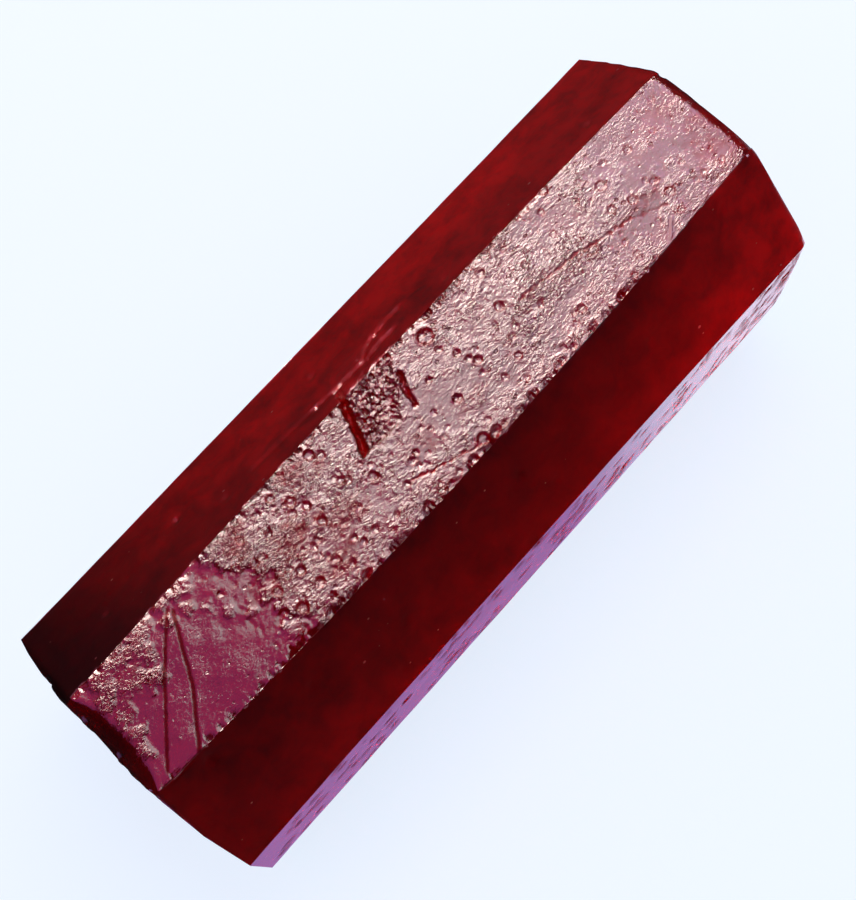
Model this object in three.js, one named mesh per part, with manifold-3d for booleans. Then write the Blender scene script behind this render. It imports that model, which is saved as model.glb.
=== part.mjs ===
// A rough red beryl crystal: one stout eight-sided prism that lies on a long face.
// Its upper face is eaten down and pitted, one edge is gouged, and both ends are worn and chipped.
// Millimetres, +Z up, +X along the crystal, origin under its middle on the surface it lies on.

import * as THREE from 'three';
import { ConvexGeometry } from 'three/addons/geometries/ConvexGeometry.js';
import { mergeVertices } from 'three/addons/utils/BufferGeometryUtils.js';
import Module from 'manifold-3d';

const wasm = await Module();
wasm.setup();

// ---- Driving dimensions of the prism ----
const LENGTH = 88;
const ACROSS_FLATS = 33.8;
const HALF_ACROSS = ACROSS_FLATS / 2;
const HALF_FACE = HALF_ACROSS * (Math.SQRT2 - 1);
const HALF_LENGTH = LENGTH / 2;
const HOLLOW = 0.95; // how far the middle of the upper face is eaten down
const SIDE_STEPS = 5; // points across each long face
const LENGTH_STEPS = 8; // rings along the faces, between the worn rims

// ---- The two ends: each is a tilted plane with a worn rim and a low, rough dome ----
const HEAD_END = { side: 1, tiltY: 0.051, tiltZ: 0.075, rim: 1.1, dome: 1.3, rough: 0.3, seed: 11 };
const FOOT_END = { side: -1, tiltY: 0.033, tiltZ: -0.044, rim: 2.2, dome: 1.5, rough: 0.35, seed: 29 };
const RIM_STEPS = [0, 0.3, 0.62, 0.87, 1]; // turns through the rim's quarter round
const CAP_RINGS = [0.86, 0.66, 0.46, 0.24]; // rings on an end, as shares of its radius

// ---- Pits: shallow round bowls where the surface was eaten or melted ----
const LARGE_PIT = 0.5; // pits from this radius up are round bowls, smaller ones are plain hollows
const BOWL_SIDES = 7;
const HOLLOW_SIDES = 5;
const PIT_DEPTH_SHARE = 0.55; // a pit's depth, as a share of its radius
const PIT_SPACING = 1.5; // pits stay apart by this many times their radii
const LIP_HEIGHT = 0.13;
const CLEAR_OF_SURFACE = 0.4; // how far a cutting shape stands out of the face it cuts
const REST_CLEAR_RADIUS = 5; // the middle of the resting face keeps no pits
const GOUGE_CLEAR = { x: [-9.5, 6.5], y: [-1, 12] }; // the gouge's own patch of the top keeps none

const DEEP_RED = new THREE.Color(0x7a0410);

// ---- Small helpers: seeded random numbers and smooth noise ----
function seededRandom(seed) {
  let state = seed >>> 0;
  return () => {
    state = (state + 0x6d2b79f5) >>> 0;
    let mixed = Math.imul(state ^ (state >>> 15), 1 | state);
    mixed = (mixed + Math.imul(mixed ^ (mixed >>> 7), 61 | mixed)) ^ mixed;
    return ((mixed ^ (mixed >>> 14)) >>> 0) / 4294967296;
  };
}

function latticeValue(ix, iy, seed) {
  return seededRandom(ix * 7919 + iy * 104729 + seed * 1299709)();
}

// Smooth noise from -1 to 1 that changes over about one unit.
function noise(x, y, seed) {
  const ix = Math.floor(x);
  const iy = Math.floor(y);
  const fx = THREE.MathUtils.smoothstep(x - ix, 0, 1);
  const fy = THREE.MathUtils.smoothstep(y - iy, 0, 1);
  const near = THREE.MathUtils.lerp(latticeValue(ix, iy, seed), latticeValue(ix + 1, iy, seed), fx);
  const far = THREE.MathUtils.lerp(latticeValue(ix, iy + 1, seed), latticeValue(ix + 1, iy + 1, seed), fx);
  return THREE.MathUtils.lerp(near, far, fy) * 2 - 1;
}

// ---- The prism's long edges, as functions of the distance along the crystal ----
function hollowAt(x) {
  return HOLLOW * Math.max(0, 1 - (x / HALF_LENGTH) ** 2);
}

// The eight corners of the section at x, from the top face's right edge round under the crystal
// to its left edge. Right is -Y. The lower faces are a little uneven, as the grown ones are.
function sectionCorners(x) {
  const eaten = hollowAt(x);
  return [
    [-HALF_FACE + 0.1 - eaten, ACROSS_FLATS - eaten],
    [-HALF_ACROSS + 0.2 * (1 - (x / HALF_LENGTH) ** 2), HALF_ACROSS + HALF_FACE],
    [-HALF_ACROSS, HALF_ACROSS - HALF_FACE],
    [-HALF_FACE - 0.35, 0],
    [HALF_FACE + 0.3, 0],
    [HALF_ACROSS - 0.15, HALF_ACROSS - HALF_FACE + 0.5],
    [HALF_ACROSS, HALF_ACROSS + HALF_FACE],
    [HALF_FACE - 1.1 + eaten + 0.006 * x, ACROSS_FLATS - eaten],
  ];
}

// Long faces, each from corner `from` to the next corner.
const LONG_FACES = {
  upperRight: { from: 0 },
  right: { from: 1 },
  lowerRight: { from: 2 },
  bottom: { from: 3 },
  lowerLeft: { from: 4 },
  left: { from: 5 },
  upperLeft: { from: 6 },
  top: { from: 7 },
};

// A point on a long face: `across` runs from -1 at its first edge to 1 at its second.
function facePoint(face, x, across) {
  const corners = sectionCorners(x);
  const first = corners[face.from];
  const second = corners[(face.from + 1) % corners.length];
  const share = (across + 1) / 2;
  return new THREE.Vector3(
    x,
    THREE.MathUtils.lerp(first[0], second[0], share),
    THREE.MathUtils.lerp(first[1], second[1], share),
  );
}

function faceNormal(face, x) {
  const acrossFace = facePoint(face, x, 1).sub(facePoint(face, x, -1));
  return new THREE.Vector3(0, acrossFace.z, -acrossFace.y).normalize();
}

// ---- The solid prism, as one grid of rings closed by the two broken ends ----
function endPlaneX(end, y, z) {
  return end.side * HALF_LENGTH + end.tiltY * y + end.tiltZ * (z - HALF_ACROSS);
}

function sectionRing(x, inset) {
  const corners = sectionCorners(x);
  const shrink = 1 - inset / HALF_ACROSS;
  const ring = [];
  for (let side = 0; side < corners.length; side += 1) {
    const start = corners[side];
    const stop = corners[(side + 1) % corners.length];
    for (let step = 0; step < SIDE_STEPS; step += 1) {
      const share = step / SIDE_STEPS;
      const y = THREE.MathUtils.lerp(start[0], stop[0], share) * shrink;
      const z = THREE.MathUtils.lerp(start[1], stop[1], share);
      ring.push([y, HALF_ACROSS + (z - HALF_ACROSS) * shrink]);
    }
  }
  return ring;
}

// A ring of the worn rim: `turn` 0 is on the long faces, 1 is on the end.
function rimRing(end, turn) {
  const angle = turn * Math.PI / 2;
  const inset = end.rim * (1 - Math.cos(angle));
  const back = end.rim * (1 - Math.sin(angle));
  return sectionRing(end.side * (HALF_LENGTH - back), inset).map(([y, z], index) => {
    const wear = 0.16 * turn * noise(index * 0.61, turn * 2, end.seed);
    const swell = 0.3 * turn * Math.sin(Math.PI * (index % SIDE_STEPS) / SIDE_STEPS);
    const x = endPlaneX(end, y, z) + end.side * (swell + wear - back);
    return new THREE.Vector3(x, y, z);
  });
}

// The end's height over its plane: a low dome with a rough skin.
function endRelief(end, y, z, radiusShare) {
  const dome = end.dome * (1 - radiusShare ** 2);
  const rough = end.rough * noise(y / 3, z / 3, end.seed);
  return dome + rough * (1 - radiusShare ** 6);
}

function capRing(end, radiusShare) {
  const outer = sectionRing(end.side * HALF_LENGTH, end.rim);
  return outer.map(([outerY, outerZ]) => {
    const y = outerY * radiusShare;
    const z = HALF_ACROSS + (outerZ - HALF_ACROSS) * radiusShare;
    const x = endPlaneX(end, y, z) + end.side * endRelief(end, y, z, radiusShare);
    return new THREE.Vector3(x, y, z);
  });
}

function faceRing(share) {
  const footStart = -HALF_LENGTH + FOOT_END.rim;
  const headStart = HALF_LENGTH - HEAD_END.rim;
  const x = THREE.MathUtils.lerp(footStart, headStart, share);
  return sectionRing(x, 0).map(([y, z]) => {
    const low = endPlaneX(FOOT_END, y, z) + FOOT_END.rim;
    const high = endPlaneX(HEAD_END, y, z) - HEAD_END.rim;
    return new THREE.Vector3(THREE.MathUtils.lerp(low, high, share), y, z);
  });
}

function prismRings() {
  const rings = [];
  for (const share of [...CAP_RINGS].reverse()) rings.push(capRing(FOOT_END, share));
  for (const turn of [...RIM_STEPS].reverse()) rings.push(rimRing(FOOT_END, turn));
  for (let step = 1; step < LENGTH_STEPS; step += 1) rings.push(faceRing(step / LENGTH_STEPS));
  for (const turn of RIM_STEPS) rings.push(rimRing(HEAD_END, turn));
  for (const share of CAP_RINGS) rings.push(capRing(HEAD_END, share));
  return rings;
}

function endCentre(end) {
  return new THREE.Vector3(
    endPlaneX(end, 0, HALF_ACROSS) + end.side * endRelief(end, 0, HALF_ACROSS, 0),
    0,
    HALF_ACROSS,
  );
}

function prismGeometry() {
  const rings = prismRings();
  const count = rings[0].length;
  const points = rings.flat();
  const footCentre = points.push(endCentre(FOOT_END)) - 1;
  const headCentre = points.push(endCentre(HEAD_END)) - 1;
  const faces = [];
  for (let ring = 0; ring < rings.length - 1; ring += 1) {
    for (let step = 0; step < count; step += 1) {
      const here = ring * count + step;
      const next = ring * count + (step + 1) % count;
      faces.push(here, next, next + count, here, next + count, here + count);
    }
  }
  const last = (rings.length - 1) * count;
  for (let step = 0; step < count; step += 1) {
    const next = (step + 1) % count;
    faces.push(footCentre, next, step);
    faces.push(headCentre, last + step, last + next);
  }
  const geometry = new THREE.BufferGeometry().setFromPoints(points);
  geometry.setIndex(faces);
  return geometry;
}

// ---- Between three.js meshes and solids that can be joined and cut ----
function toSolid(geometry) {
  const bare = geometry.clone();
  bare.deleteAttribute('normal');
  bare.deleteAttribute('uv');
  const merged = mergeVertices(bare, 1e-5);
  const mesh = new wasm.Mesh({
    numProp: 3,
    vertProperties: Float32Array.from(merged.attributes.position.array),
    triVerts: Uint32Array.from(merged.index.array),
  });
  return new wasm.Manifold(mesh);
}

function toGeometry(solid) {
  const mesh = solid.getMesh();
  const geometry = new THREE.BufferGeometry();
  geometry.setAttribute('position', new THREE.BufferAttribute(mesh.vertProperties, 3));
  geometry.setIndex(new THREE.BufferAttribute(mesh.triVerts, 1));
  return geometry;
}

// Stands a shape made on the XY plane on a long face, with its +Z along the face's normal.
function standOn(geometry, point, normal, spin) {
  const along = new THREE.Vector3(1, 0, 0).applyAxisAngle(normal, spin);
  const acrossFace = new THREE.Vector3().crossVectors(normal, along);
  const frame = new THREE.Matrix4().makeBasis(along, acrossFace, normal).setPosition(point);
  return geometry.applyMatrix4(frame);
}

// ---- Pits ----
function bowl(radius, depth, stretch) {
  const isLarge = radius >= LARGE_PIT;
  const knee = isLarge ? new THREE.Vector2(radius * 0.66, -depth * 0.78) : new THREE.Vector2(0, -depth);
  const widening = (radius - knee.x) / -knee.y;
  const profile = [
    new THREE.Vector2(0, -depth),
    ...(isLarge ? [knee] : []),
    new THREE.Vector2(radius + widening * CLEAR_OF_SURFACE, CLEAR_OF_SURFACE),
    new THREE.Vector2(0, CLEAR_OF_SURFACE),
  ];
  const shape = new THREE.LatheGeometry(profile, isLarge ? BOWL_SIDES : HOLLOW_SIDES);
  return shape.rotateX(Math.PI / 2).scale(stretch, 1, 1);
}

// The low swollen lip that stands round a large pit.
function lip(radius, stretch) {
  const profile = [
    new THREE.Vector2(0, -LIP_HEIGHT * 2),
    new THREE.Vector2(radius * 1.5, -LIP_HEIGHT * 2),
    new THREE.Vector2(radius * 1.5, -0.03),
    new THREE.Vector2(radius * 1.15, LIP_HEIGHT),
    new THREE.Vector2(0, LIP_HEIGHT),
  ];
  const shape = new THREE.LatheGeometry(profile, BOWL_SIDES);
  return shape.rotateX(Math.PI / 2).scale(stretch, 1, 1);
}

// How each long face is pitted: how many pits, their radii and where they lie along the crystal.
const PITTING = [
  { face: 'top', count: 84, small: 0.32, large: 0.85, from: -27, to: 43, lips: true, seed: 5 },
  { face: 'top', count: 12, small: 0.35, large: 0.8, from: -42, to: -35, lips: true, seed: 6 },
  { face: 'upperRight', count: 7, small: 0.35, large: 0.7, from: -40, to: 42, lips: false, seed: 7 },
  { face: 'right', count: 20, small: 0.4, large: 0.7, from: -41, to: 41, lips: false, seed: 8, stretch: 2.2 },
  { face: 'lowerRight', count: 16, small: 0.4, large: 1.0, from: -41, to: 41, lips: false, seed: 9 },
  { face: 'bottom', count: 12, small: 0.4, large: 0.8, from: -40, to: 40, lips: false, seed: 10 },
  { face: 'lowerLeft', count: 15, small: 0.4, large: 1.0, from: -41, to: 41, lips: false, seed: 12 },
  { face: 'left', count: 14, small: 0.4, large: 0.9, from: -41, to: 41, lips: false, seed: 13 },
  { face: 'upperLeft', count: 7, small: 0.35, large: 0.7, from: -40, to: 42, lips: false, seed: 14 },
];

function inGouge(pitting, point) {
  const { x, y } = GOUGE_CLEAR;
  const isNear = point.x > x[0] && point.x < x[1] && point.y > y[0] && point.y < y[1];
  return isNear && (pitting.face === 'top' || pitting.face === 'upperLeft');
}

function scatterPits(pitting) {
  const random = seededRandom(pitting.seed);
  const face = LONG_FACES[pitting.face];
  const pits = [];
  while (pits.length < pitting.count) {
    const x = THREE.MathUtils.lerp(pitting.from, pitting.to, random());
    const across = (random() * 2 - 1) * 0.86;
    const radius = THREE.MathUtils.lerp(pitting.small, pitting.large, random() ** 1.5);
    const point = facePoint(face, x, across);
    const spin = (random() - 0.5) * 0.5;
    const isClose = (other) => other.point.distanceTo(point) < (other.radius + radius) * PIT_SPACING;
    const crowded = pits.some(isClose);
    const underRest = pitting.face === 'bottom' && Math.hypot(point.x, point.y) < REST_CLEAR_RADIUS;
    if (crowded || underRest || inGouge(pitting, point)) continue;
    const lipped = pitting.lips && radius > (pitting.small + pitting.large) / 2;
    pits.push({ point, radius, spin, lipped, stretch: pitting.stretch ?? 1, normal: faceNormal(face, x) });
  }
  return pits;
}

function pitTheFaces(crystal) {
  const pits = PITTING.flatMap(scatterPits);
  let pitted = crystal;
  for (const pit of pits.filter((one) => one.lipped)) {
    pitted = pitted.add(toSolid(standOn(lip(pit.radius, pit.stretch), pit.point, pit.normal, pit.spin)));
  }
  for (const pit of pits) {
    const shape = bowl(pit.radius, pit.radius * PIT_DEPTH_SHARE, pit.stretch);
    pitted = pitted.subtract(toSolid(standOn(shape, pit.point, pit.normal, pit.spin)));
  }
  return pitted;
}

// ---- Healed cracks: V-shaped grooves along a few points on a face ----
// A crack's points are (distance along the crystal, place across the face from -1 to 1).
const CRACKS = [
  { face: 'top', width: 0.55, depth: 0.45, points: [[16.5, 0], [21, 0], [26, 0.2], [30, 0.35], [34, 0.6]] },
  { face: 'top', width: 0.5, depth: 0.35, points: [[-5.6, 0.55], [-1.5, 0.78], [2.4, 0.97]] },
  { face: 'top', width: 0.6, depth: 0.5, points: [[-31.5, -0.8], [-36, -0.2], [-42.6, 0.8]] },
  { face: 'top', width: 0.6, depth: 0.5, points: [[-31.2, -0.72], [-35.2, 0.25], [-39.2, 0.93]] },
  { face: 'top', width: 0.7, depth: 0.6, points: [[1.9, -0.62], [0.9, -0.35], [0.6, -0.1]] },
  { face: 'upperLeft', width: 1.1, depth: 0.35, points: [[3.5, 0.84], [-4, 0.8], [-12, 0.74], [-19, 0.7]] },
  { face: 'upperLeft', width: 0.7, depth: 0.3, points: [[4.6, 0.7], [1.5, 0.62], [-1.2, 0.66]] },
  { face: 'lowerRight', width: 0.6, depth: 0.5, points: [[-24, -0.5], [-16, -0.1], [-9, 0.1]] },
  { face: 'left', width: 0.6, depth: 0.5, points: [[12, 0.6], [22, 0.1], [27, -0.5]] },
];

// The V section of a groove at one of its points, with its flanks carried out past the surface.
function grooveSection(crack, index) {
  const face = LONG_FACES[crack.face];
  const count = crack.points.length;
  const [x, across] = crack.points[index];
  const before = crack.points[Math.max(0, index - 1)];
  const after = crack.points[Math.min(count - 1, index + 1)];
  const point = facePoint(face, x, across);
  const normal = faceNormal(face, x);
  const run = facePoint(face, ...after).sub(facePoint(face, ...before)).normalize();
  const flank = new THREE.Vector3().crossVectors(normal, run).normalize();
  const isEnd = index === 0 || index === count - 1;
  const depth = crack.depth * (isEnd ? 0.4 : 1);
  const spread = (crack.width / 2) * (depth + CLEAR_OF_SURFACE) / depth * (isEnd ? 0.5 : 1);
  const rise = normal.clone().multiplyScalar(CLEAR_OF_SURFACE);
  return [
    point.clone().addScaledVector(normal, -depth),
    point.clone().add(rise).addScaledVector(flank, spread),
    point.clone().add(rise).addScaledVector(flank, -spread),
  ];
}

function cutCracks(crystal) {
  let cracked = crystal;
  for (const crack of CRACKS) {
    for (let index = 0; index < crack.points.length - 1; index += 1) {
      const corners = [...grooveSection(crack, index), ...grooveSection(crack, index + 1)];
      cracked = cracked.subtract(toSolid(new ConvexGeometry(corners)));
    }
  }
  return cracked;
}

// ---- The gouge on the edge between the upper left face and the top ----
const GOUGE_DEPTH = 1.3;
const GOUGE_FLOOR = { edgeNear: 1.5, apex: 0.8, tail: 0.2, far: 0.45 }; // shares of the depth
// The wedge's outline on the top face, (x, y): the steep wall runs from the edge to the apex.
const GOUGE_OUTLINE = { edgeNear: [-3.9, 8.2], apex: [-7.3, 0.9], tail: [-1.6, 0.6], far: [4.6, 8.4] };

function gougeWedge() {
  const surface = ACROSS_FLATS - hollowAt(0);
  const above = surface + CLEAR_OF_SURFACE;
  const { edgeNear, apex, tail, far } = GOUGE_OUTLINE;
  const corners = [edgeNear, apex, tail, far].map(([x, y]) => new THREE.Vector3(x, y, above));
  const floorAt = (share) => surface - GOUGE_DEPTH * share;
  corners.push(
    new THREE.Vector3(edgeNear[0] + 0.5, edgeNear[1] + 1.2, floorAt(GOUGE_FLOOR.edgeNear)),
    new THREE.Vector3(apex[0] + 0.7, apex[1] + 0.7, floorAt(GOUGE_FLOOR.apex)),
    new THREE.Vector3(tail[0] - 0.3, tail[1] + 0.6, floorAt(GOUGE_FLOOR.tail)),
    new THREE.Vector3(far[0] - 0.4, far[1] + 0.4, floorAt(GOUGE_FLOOR.far)),
  );
  return new ConvexGeometry(corners);
}

// Lumps left standing on the gouge's floor: angular grains of the broken crystal.
const GOUGE_LUMPS = 16;

function gougeLumps() {
  const random = seededRandom(41);
  const lumps = [];
  for (let index = 0; index < GOUGE_LUMPS; index += 1) {
    const along = random();
    const y = THREE.MathUtils.lerp(1.6, 6.6, random());
    const x = THREE.MathUtils.lerp(-5.2, 2.2, along) + (y - 4) * 0.35;
    const z = ACROSS_FLATS - hollowAt(0) - GOUGE_DEPTH * THREE.MathUtils.lerp(0.9, 0.4, along);
    const radius = THREE.MathUtils.lerp(0.5, 0.95, random());
    const centre = new THREE.Vector3(x, y, z);
    lumps.push(brokenBlob(centre, [radius, radius, radius * 0.7], 9, random));
  }
  return lumps;
}

// ---- Chips: angular bites out of the rims, each the hull of a few points round a centre ----
function brokenBlob(centre, radii, count, random) {
  const points = [];
  for (let index = 0; index < count; index += 1) {
    const height = 1 - 2 * (index + 0.5) / count;
    const turn = index * 2.4 + random();
    const around = Math.sqrt(1 - height * height);
    const reach = 0.8 + 0.3 * random();
    points.push(new THREE.Vector3(
      centre.x + radii[0] * reach * around * Math.cos(turn),
      centre.y + radii[1] * reach * around * Math.sin(turn),
      centre.z + radii[2] * reach * height,
    ));
  }
  return new ConvexGeometry(points);
}

const CHIP_SINK = 0.55; // a chip's centre stands out of the rim by this share of its radius
const UPPER_CHIP_SHARE = 0.5; // the rims' upper halves lost smaller chips than the lower ones
const RIM_CHIPS = [
  { end: HEAD_END, count: 13, small: 1.0, large: 2.8, seed: 51 },
  { end: FOOT_END, count: 15, small: 1.2, large: 3.2, seed: 52 },
];

function rimChips({ end, count, small, large, seed }) {
  const random = seededRandom(seed);
  const rim = rimRing(end, RIM_STEPS[2]);
  const chips = [];
  for (let index = 0; index < count; index += 1) {
    const place = Math.floor((index + random() * 0.8) / count * rim.length) % rim.length;
    const onRim = rim[place];
    const height = onRim.z > HALF_ACROSS ? UPPER_CHIP_SHARE : 1;
    const radius = THREE.MathUtils.lerp(small, large, random()) * height;
    const outward = new THREE.Vector3(end.side, onRim.y / HALF_ACROSS, onRim.z / HALF_ACROSS - 1);
    const centre = onRim.clone().addScaledVector(outward.normalize(), radius * CHIP_SINK);
    chips.push(brokenBlob(centre, [radius * 0.8, radius * 1.15, radius * 1.15], 10, random));
  }
  return chips;
}

// ---- Breaks: flat facets where an end split off along slanting planes ----
// y and z are from the axis, and `under` is how deep the plane runs there under the dome.
const END_BREAKS = [
  { end: HEAD_END, y: 5, z: 6, under: 0.25, tiltY: 0.03, tiltZ: 0.03 },
  { end: HEAD_END, y: -7, z: 3, under: 0.3, tiltY: -0.09, tiltZ: 0.01 },
  { end: HEAD_END, y: -3, z: -8, under: 0.45, tiltY: -0.03, tiltZ: -0.11 },
  { end: HEAD_END, y: 8, z: -6, under: 0.5, tiltY: 0.13, tiltZ: -0.05 },
  { end: HEAD_END, y: -10, z: -6, under: 0.4, tiltY: -0.13, tiltZ: -0.1 },
  { end: FOOT_END, y: 6, z: 4, under: 0.3, tiltY: 0.1, tiltZ: 0.02 },
  { end: FOOT_END, y: -6, z: 5, under: 0.35, tiltY: -0.05, tiltZ: 0.04 },
  { end: FOOT_END, y: -8, z: -5, under: 0.55, tiltY: -0.12, tiltZ: -0.03 },
  { end: FOOT_END, y: 4, z: -9, under: 0.45, tiltY: 0.04, tiltZ: -0.14 },
  { end: FOOT_END, y: 10, z: -4, under: 0.3, tiltY: 0.16, tiltZ: -0.02 },
];
const BREAK_SLAB = { across: 60, thick: 6 };

function breakSlab({ end, y, z, under, tiltY, tiltZ }) {
  const height = HALF_ACROSS + z;
  const domeHere = end.dome * (1 - (y * y + z * z) / HALF_ACROSS ** 2);
  const x = endPlaneX(end, y, height) + end.side * (domeHere - under);
  const normal = new THREE.Vector3(end.side, tiltY, tiltZ).normalize();
  const centre = new THREE.Vector3(x, y, height).addScaledVector(normal, BREAK_SLAB.thick / 2);
  const slab = new THREE.BoxGeometry(BREAK_SLAB.across, BREAK_SLAB.across, BREAK_SLAB.thick);
  const turn = new THREE.Quaternion().setFromUnitVectors(new THREE.Vector3(0, 0, 1), normal);
  return slab.applyQuaternion(turn).translate(centre.x, centre.y, centre.z);
}

// The head end's upper right corner is broken off by one slanting plane.
function cornerBreak() {
  const corner = facePoint(LONG_FACES.upperRight, HALF_LENGTH, -0.72);
  const normal = new THREE.Vector3(0.8, -0.3, 0.52).normalize();
  const centre = corner.addScaledVector(normal, 3.1);
  return standOn(new THREE.BoxGeometry(8, 8, 5), centre, normal, 0.5);
}

// ---- The crystal ----
function beryl() {
  let crystal = toSolid(prismGeometry());
  crystal = crystal.subtract(toSolid(cornerBreak()));
  for (const plane of END_BREAKS) crystal = crystal.subtract(toSolid(breakSlab(plane)));
  for (const end of RIM_CHIPS) {
    for (const chip of rimChips(end)) crystal = crystal.subtract(toSolid(chip));
  }
  crystal = crystal.subtract(toSolid(gougeWedge()));
  for (const lump of gougeLumps()) crystal = crystal.add(toSolid(lump));
  crystal = cutCracks(crystal);
  crystal = pitTheFaces(crystal);
  const geometry = toGeometry(crystal);
  geometry.computeBoundingBox();
  const box = geometry.boundingBox;
  geometry.translate(-(box.min.x + box.max.x) / 2, -(box.min.y + box.max.y) / 2, -box.min.z);
  const surface = new THREE.MeshStandardMaterial({ color: DEEP_RED, roughness: 0.25, metalness: 0 });
  const mesh = new THREE.Mesh(geometry, surface);
  mesh.name = 'beryl_crystal';
  return mesh;
}

const part = new THREE.Group();
part.add(beryl());

export default part;
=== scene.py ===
# %% [markdown]
# # A rough red beryl crystal
# One crystal, 91 mm long, that lies on a long face. We start by loading the CAD model. It is the
# frame that everything here is measured in, so we note its size before anything is added.

import math

import bmesh
import bpy
import numpy as np
from mathutils import Matrix, Vector


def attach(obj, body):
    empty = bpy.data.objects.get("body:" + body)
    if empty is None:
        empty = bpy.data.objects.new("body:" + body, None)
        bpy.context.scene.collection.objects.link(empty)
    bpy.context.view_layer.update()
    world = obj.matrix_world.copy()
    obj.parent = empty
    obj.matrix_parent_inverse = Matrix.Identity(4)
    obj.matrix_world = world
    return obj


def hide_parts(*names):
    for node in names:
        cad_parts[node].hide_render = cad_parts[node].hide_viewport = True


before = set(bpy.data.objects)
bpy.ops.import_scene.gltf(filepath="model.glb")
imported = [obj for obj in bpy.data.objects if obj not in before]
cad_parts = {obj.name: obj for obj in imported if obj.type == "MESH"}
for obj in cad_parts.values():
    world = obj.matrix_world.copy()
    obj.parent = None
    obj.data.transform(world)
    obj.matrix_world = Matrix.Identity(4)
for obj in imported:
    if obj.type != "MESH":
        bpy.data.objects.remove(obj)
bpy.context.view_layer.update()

# %% [markdown]
# ## The measured sizes
# Length, width and the tilt of the ends come from the CAD, in millimetres. The rims are not all the
# CAD's, and each end stands out beyond its plane by more, at the places more_at across it. The long
# faces are counted from the top one, turning towards +Y and on round to the upper right one.

# %% The measured sizes
MM = 0.001
HALF_LENGTH = 44.0
HALF_ACROSS = 16.9
ACROSS = 2 * HALF_ACROSS
HALF_FACE = HALF_ACROSS * (math.sqrt(2) - 1)
HOLLOW = 0.95
BOX_SHIFT = 0.038
TOP, UPPER_LEFT, LEFT, LOWER_LEFT, BOTTOM, LOWER_RIGHT, RIGHT, UPPER_RIGHT = range(8)
HEAD = dict(side=1, tilt_y=0.051, tilt_z=0.075, rim=2.0, side_rim=1.5, corner_rim=1.9, dome=1.3,
            rough=0.3, seed=11, more_at=(-17, -12, -7, -4, 0, 3, 6, 8, 10, 12, 15, 17),
            more=(1.9, 1.6, 1.5, 1.35, 1.25, 0.9, 0.85, 0.8, 1.0, 1.3, 1.95, 2.4))
FOOT = dict(side=-1, tilt_y=0.033, tilt_z=-0.044, rim=2.2, side_rim=1.3, corner_rim=1.0, dome=1.5,
            rough=0.35, seed=29, more_at=(-17, -11.5, -7, -4, 0, 3, 7, 12.5, 17),
            more=(1.05, 0.77, 0.45, 0.17, 0.0, 0.1, 0.43, 0.9, 1.05))
STATIONS = 264
COLUMNS = {TOP: 84, UPPER_LEFT: 38, LEFT: 16, LOWER_LEFT: 16, BOTTOM: 16,
           LOWER_RIGHT: 16, RIGHT: 26, UPPER_RIGHT: 28}

print("crystal:", 2 * HALF_LENGTH, "mm long inside its ends,", ACROSS, "mm across")

# %% [markdown]
# ## Random numbers that repeat
# Wear looks random but must come out the same on every run, and the craters must sit where the CAD has
# them. So the numbers come from the CAD's own formula, for whole arrays of points at once.
# Smooth noise makes waves and patches, and cells make crumbs.

# %% Seeded random numbers and noise, the same as in the CAD
WORD = 0xFFFFFFFF


def mixed_bits(state):
    """One random number from 0 to 1 for each whole number in state."""
    state = (np.asarray(state, dtype=np.int64) + 0x6D2B79F5) & WORD
    state = state.astype(np.uint64)
    word = np.uint64(WORD)
    mixed = ((state ^ (state >> np.uint64(15))) * (state | np.uint64(1))) & word
    again = ((mixed ^ (mixed >> np.uint64(7))) * (mixed | np.uint64(61))) & word
    mixed = ((mixed + again) & word) ^ mixed
    return (mixed ^ (mixed >> np.uint64(14))) / 4294967296.0


def seeded_random(seed):
    state = seed & WORD
    while True:
        yield float(mixed_bits(state))
        state = (state + 0x6D2B79F5) & WORD


def noise(x, y, seed):
    """Smooth noise from -1 to 1 that changes over about one unit."""
    ix = np.floor(x).astype(np.int64)
    iy = np.floor(y).astype(np.int64)
    fx = x - ix
    fy = y - iy
    fx = fx * fx * (3 - 2 * fx)
    fy = fy * fy * (3 - 2 * fy)

    def corner(dx, dy):
        return mixed_bits((ix + dx) * 7919 + (iy + dy) * 104729 + seed * 1299709)

    near = corner(0, 0) * (1 - fx) + corner(1, 0) * fx
    far = corner(0, 1) * (1 - fx) + corner(1, 1) * fx
    return (near * (1 - fy) + far * fy) * 2 - 1


def cells(x, y, seed):
    """Distances to the nearest and second nearest of scattered points, about one point a unit,
    and a random number that belongs to the nearest point."""
    ix = np.floor(x).astype(np.int64)
    iy = np.floor(y).astype(np.int64)
    first = np.full(np.shape(x), 9.0)
    second = np.full(np.shape(x), 9.0)
    owner = np.zeros(np.shape(x))
    off_x = np.zeros(np.shape(x))
    off_y = np.zeros(np.shape(x))
    for dx in (-1, 0, 1):
        for dy in (-1, 0, 1):
            key = (ix + dx) * 7919 + (iy + dy) * 104729 + seed * 1299709
            px = ix + dx + mixed_bits(key)
            py = iy + dy + mixed_bits(key + 500009)
            reach = np.hypot(x - px, y - py)
            closer = reach < first
            second = np.where(closer, first, np.minimum(second, reach))
            owner = np.where(closer, mixed_bits(key + 900001), owner)
            off_x = np.where(closer, x - px, off_x)
            off_y = np.where(closer, y - py, off_y)
            first = np.where(closer, reach, first)
    return first, second, owner, off_x, off_y


def smooth(value):
    value = np.clip(value, 0.0, 1.0)
    return value * value * (3 - 2 * value)


# %% [markdown]
# ## The blank: an eight-sided bar
# A cylinder with eight sides, laid along X, is the plain prism. Its long edges are cut into short
# steps and every face into columns, so that there are points to move. The top face shows the most
# detail, so it gets the most columns, and its steps are halved once more.

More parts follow.
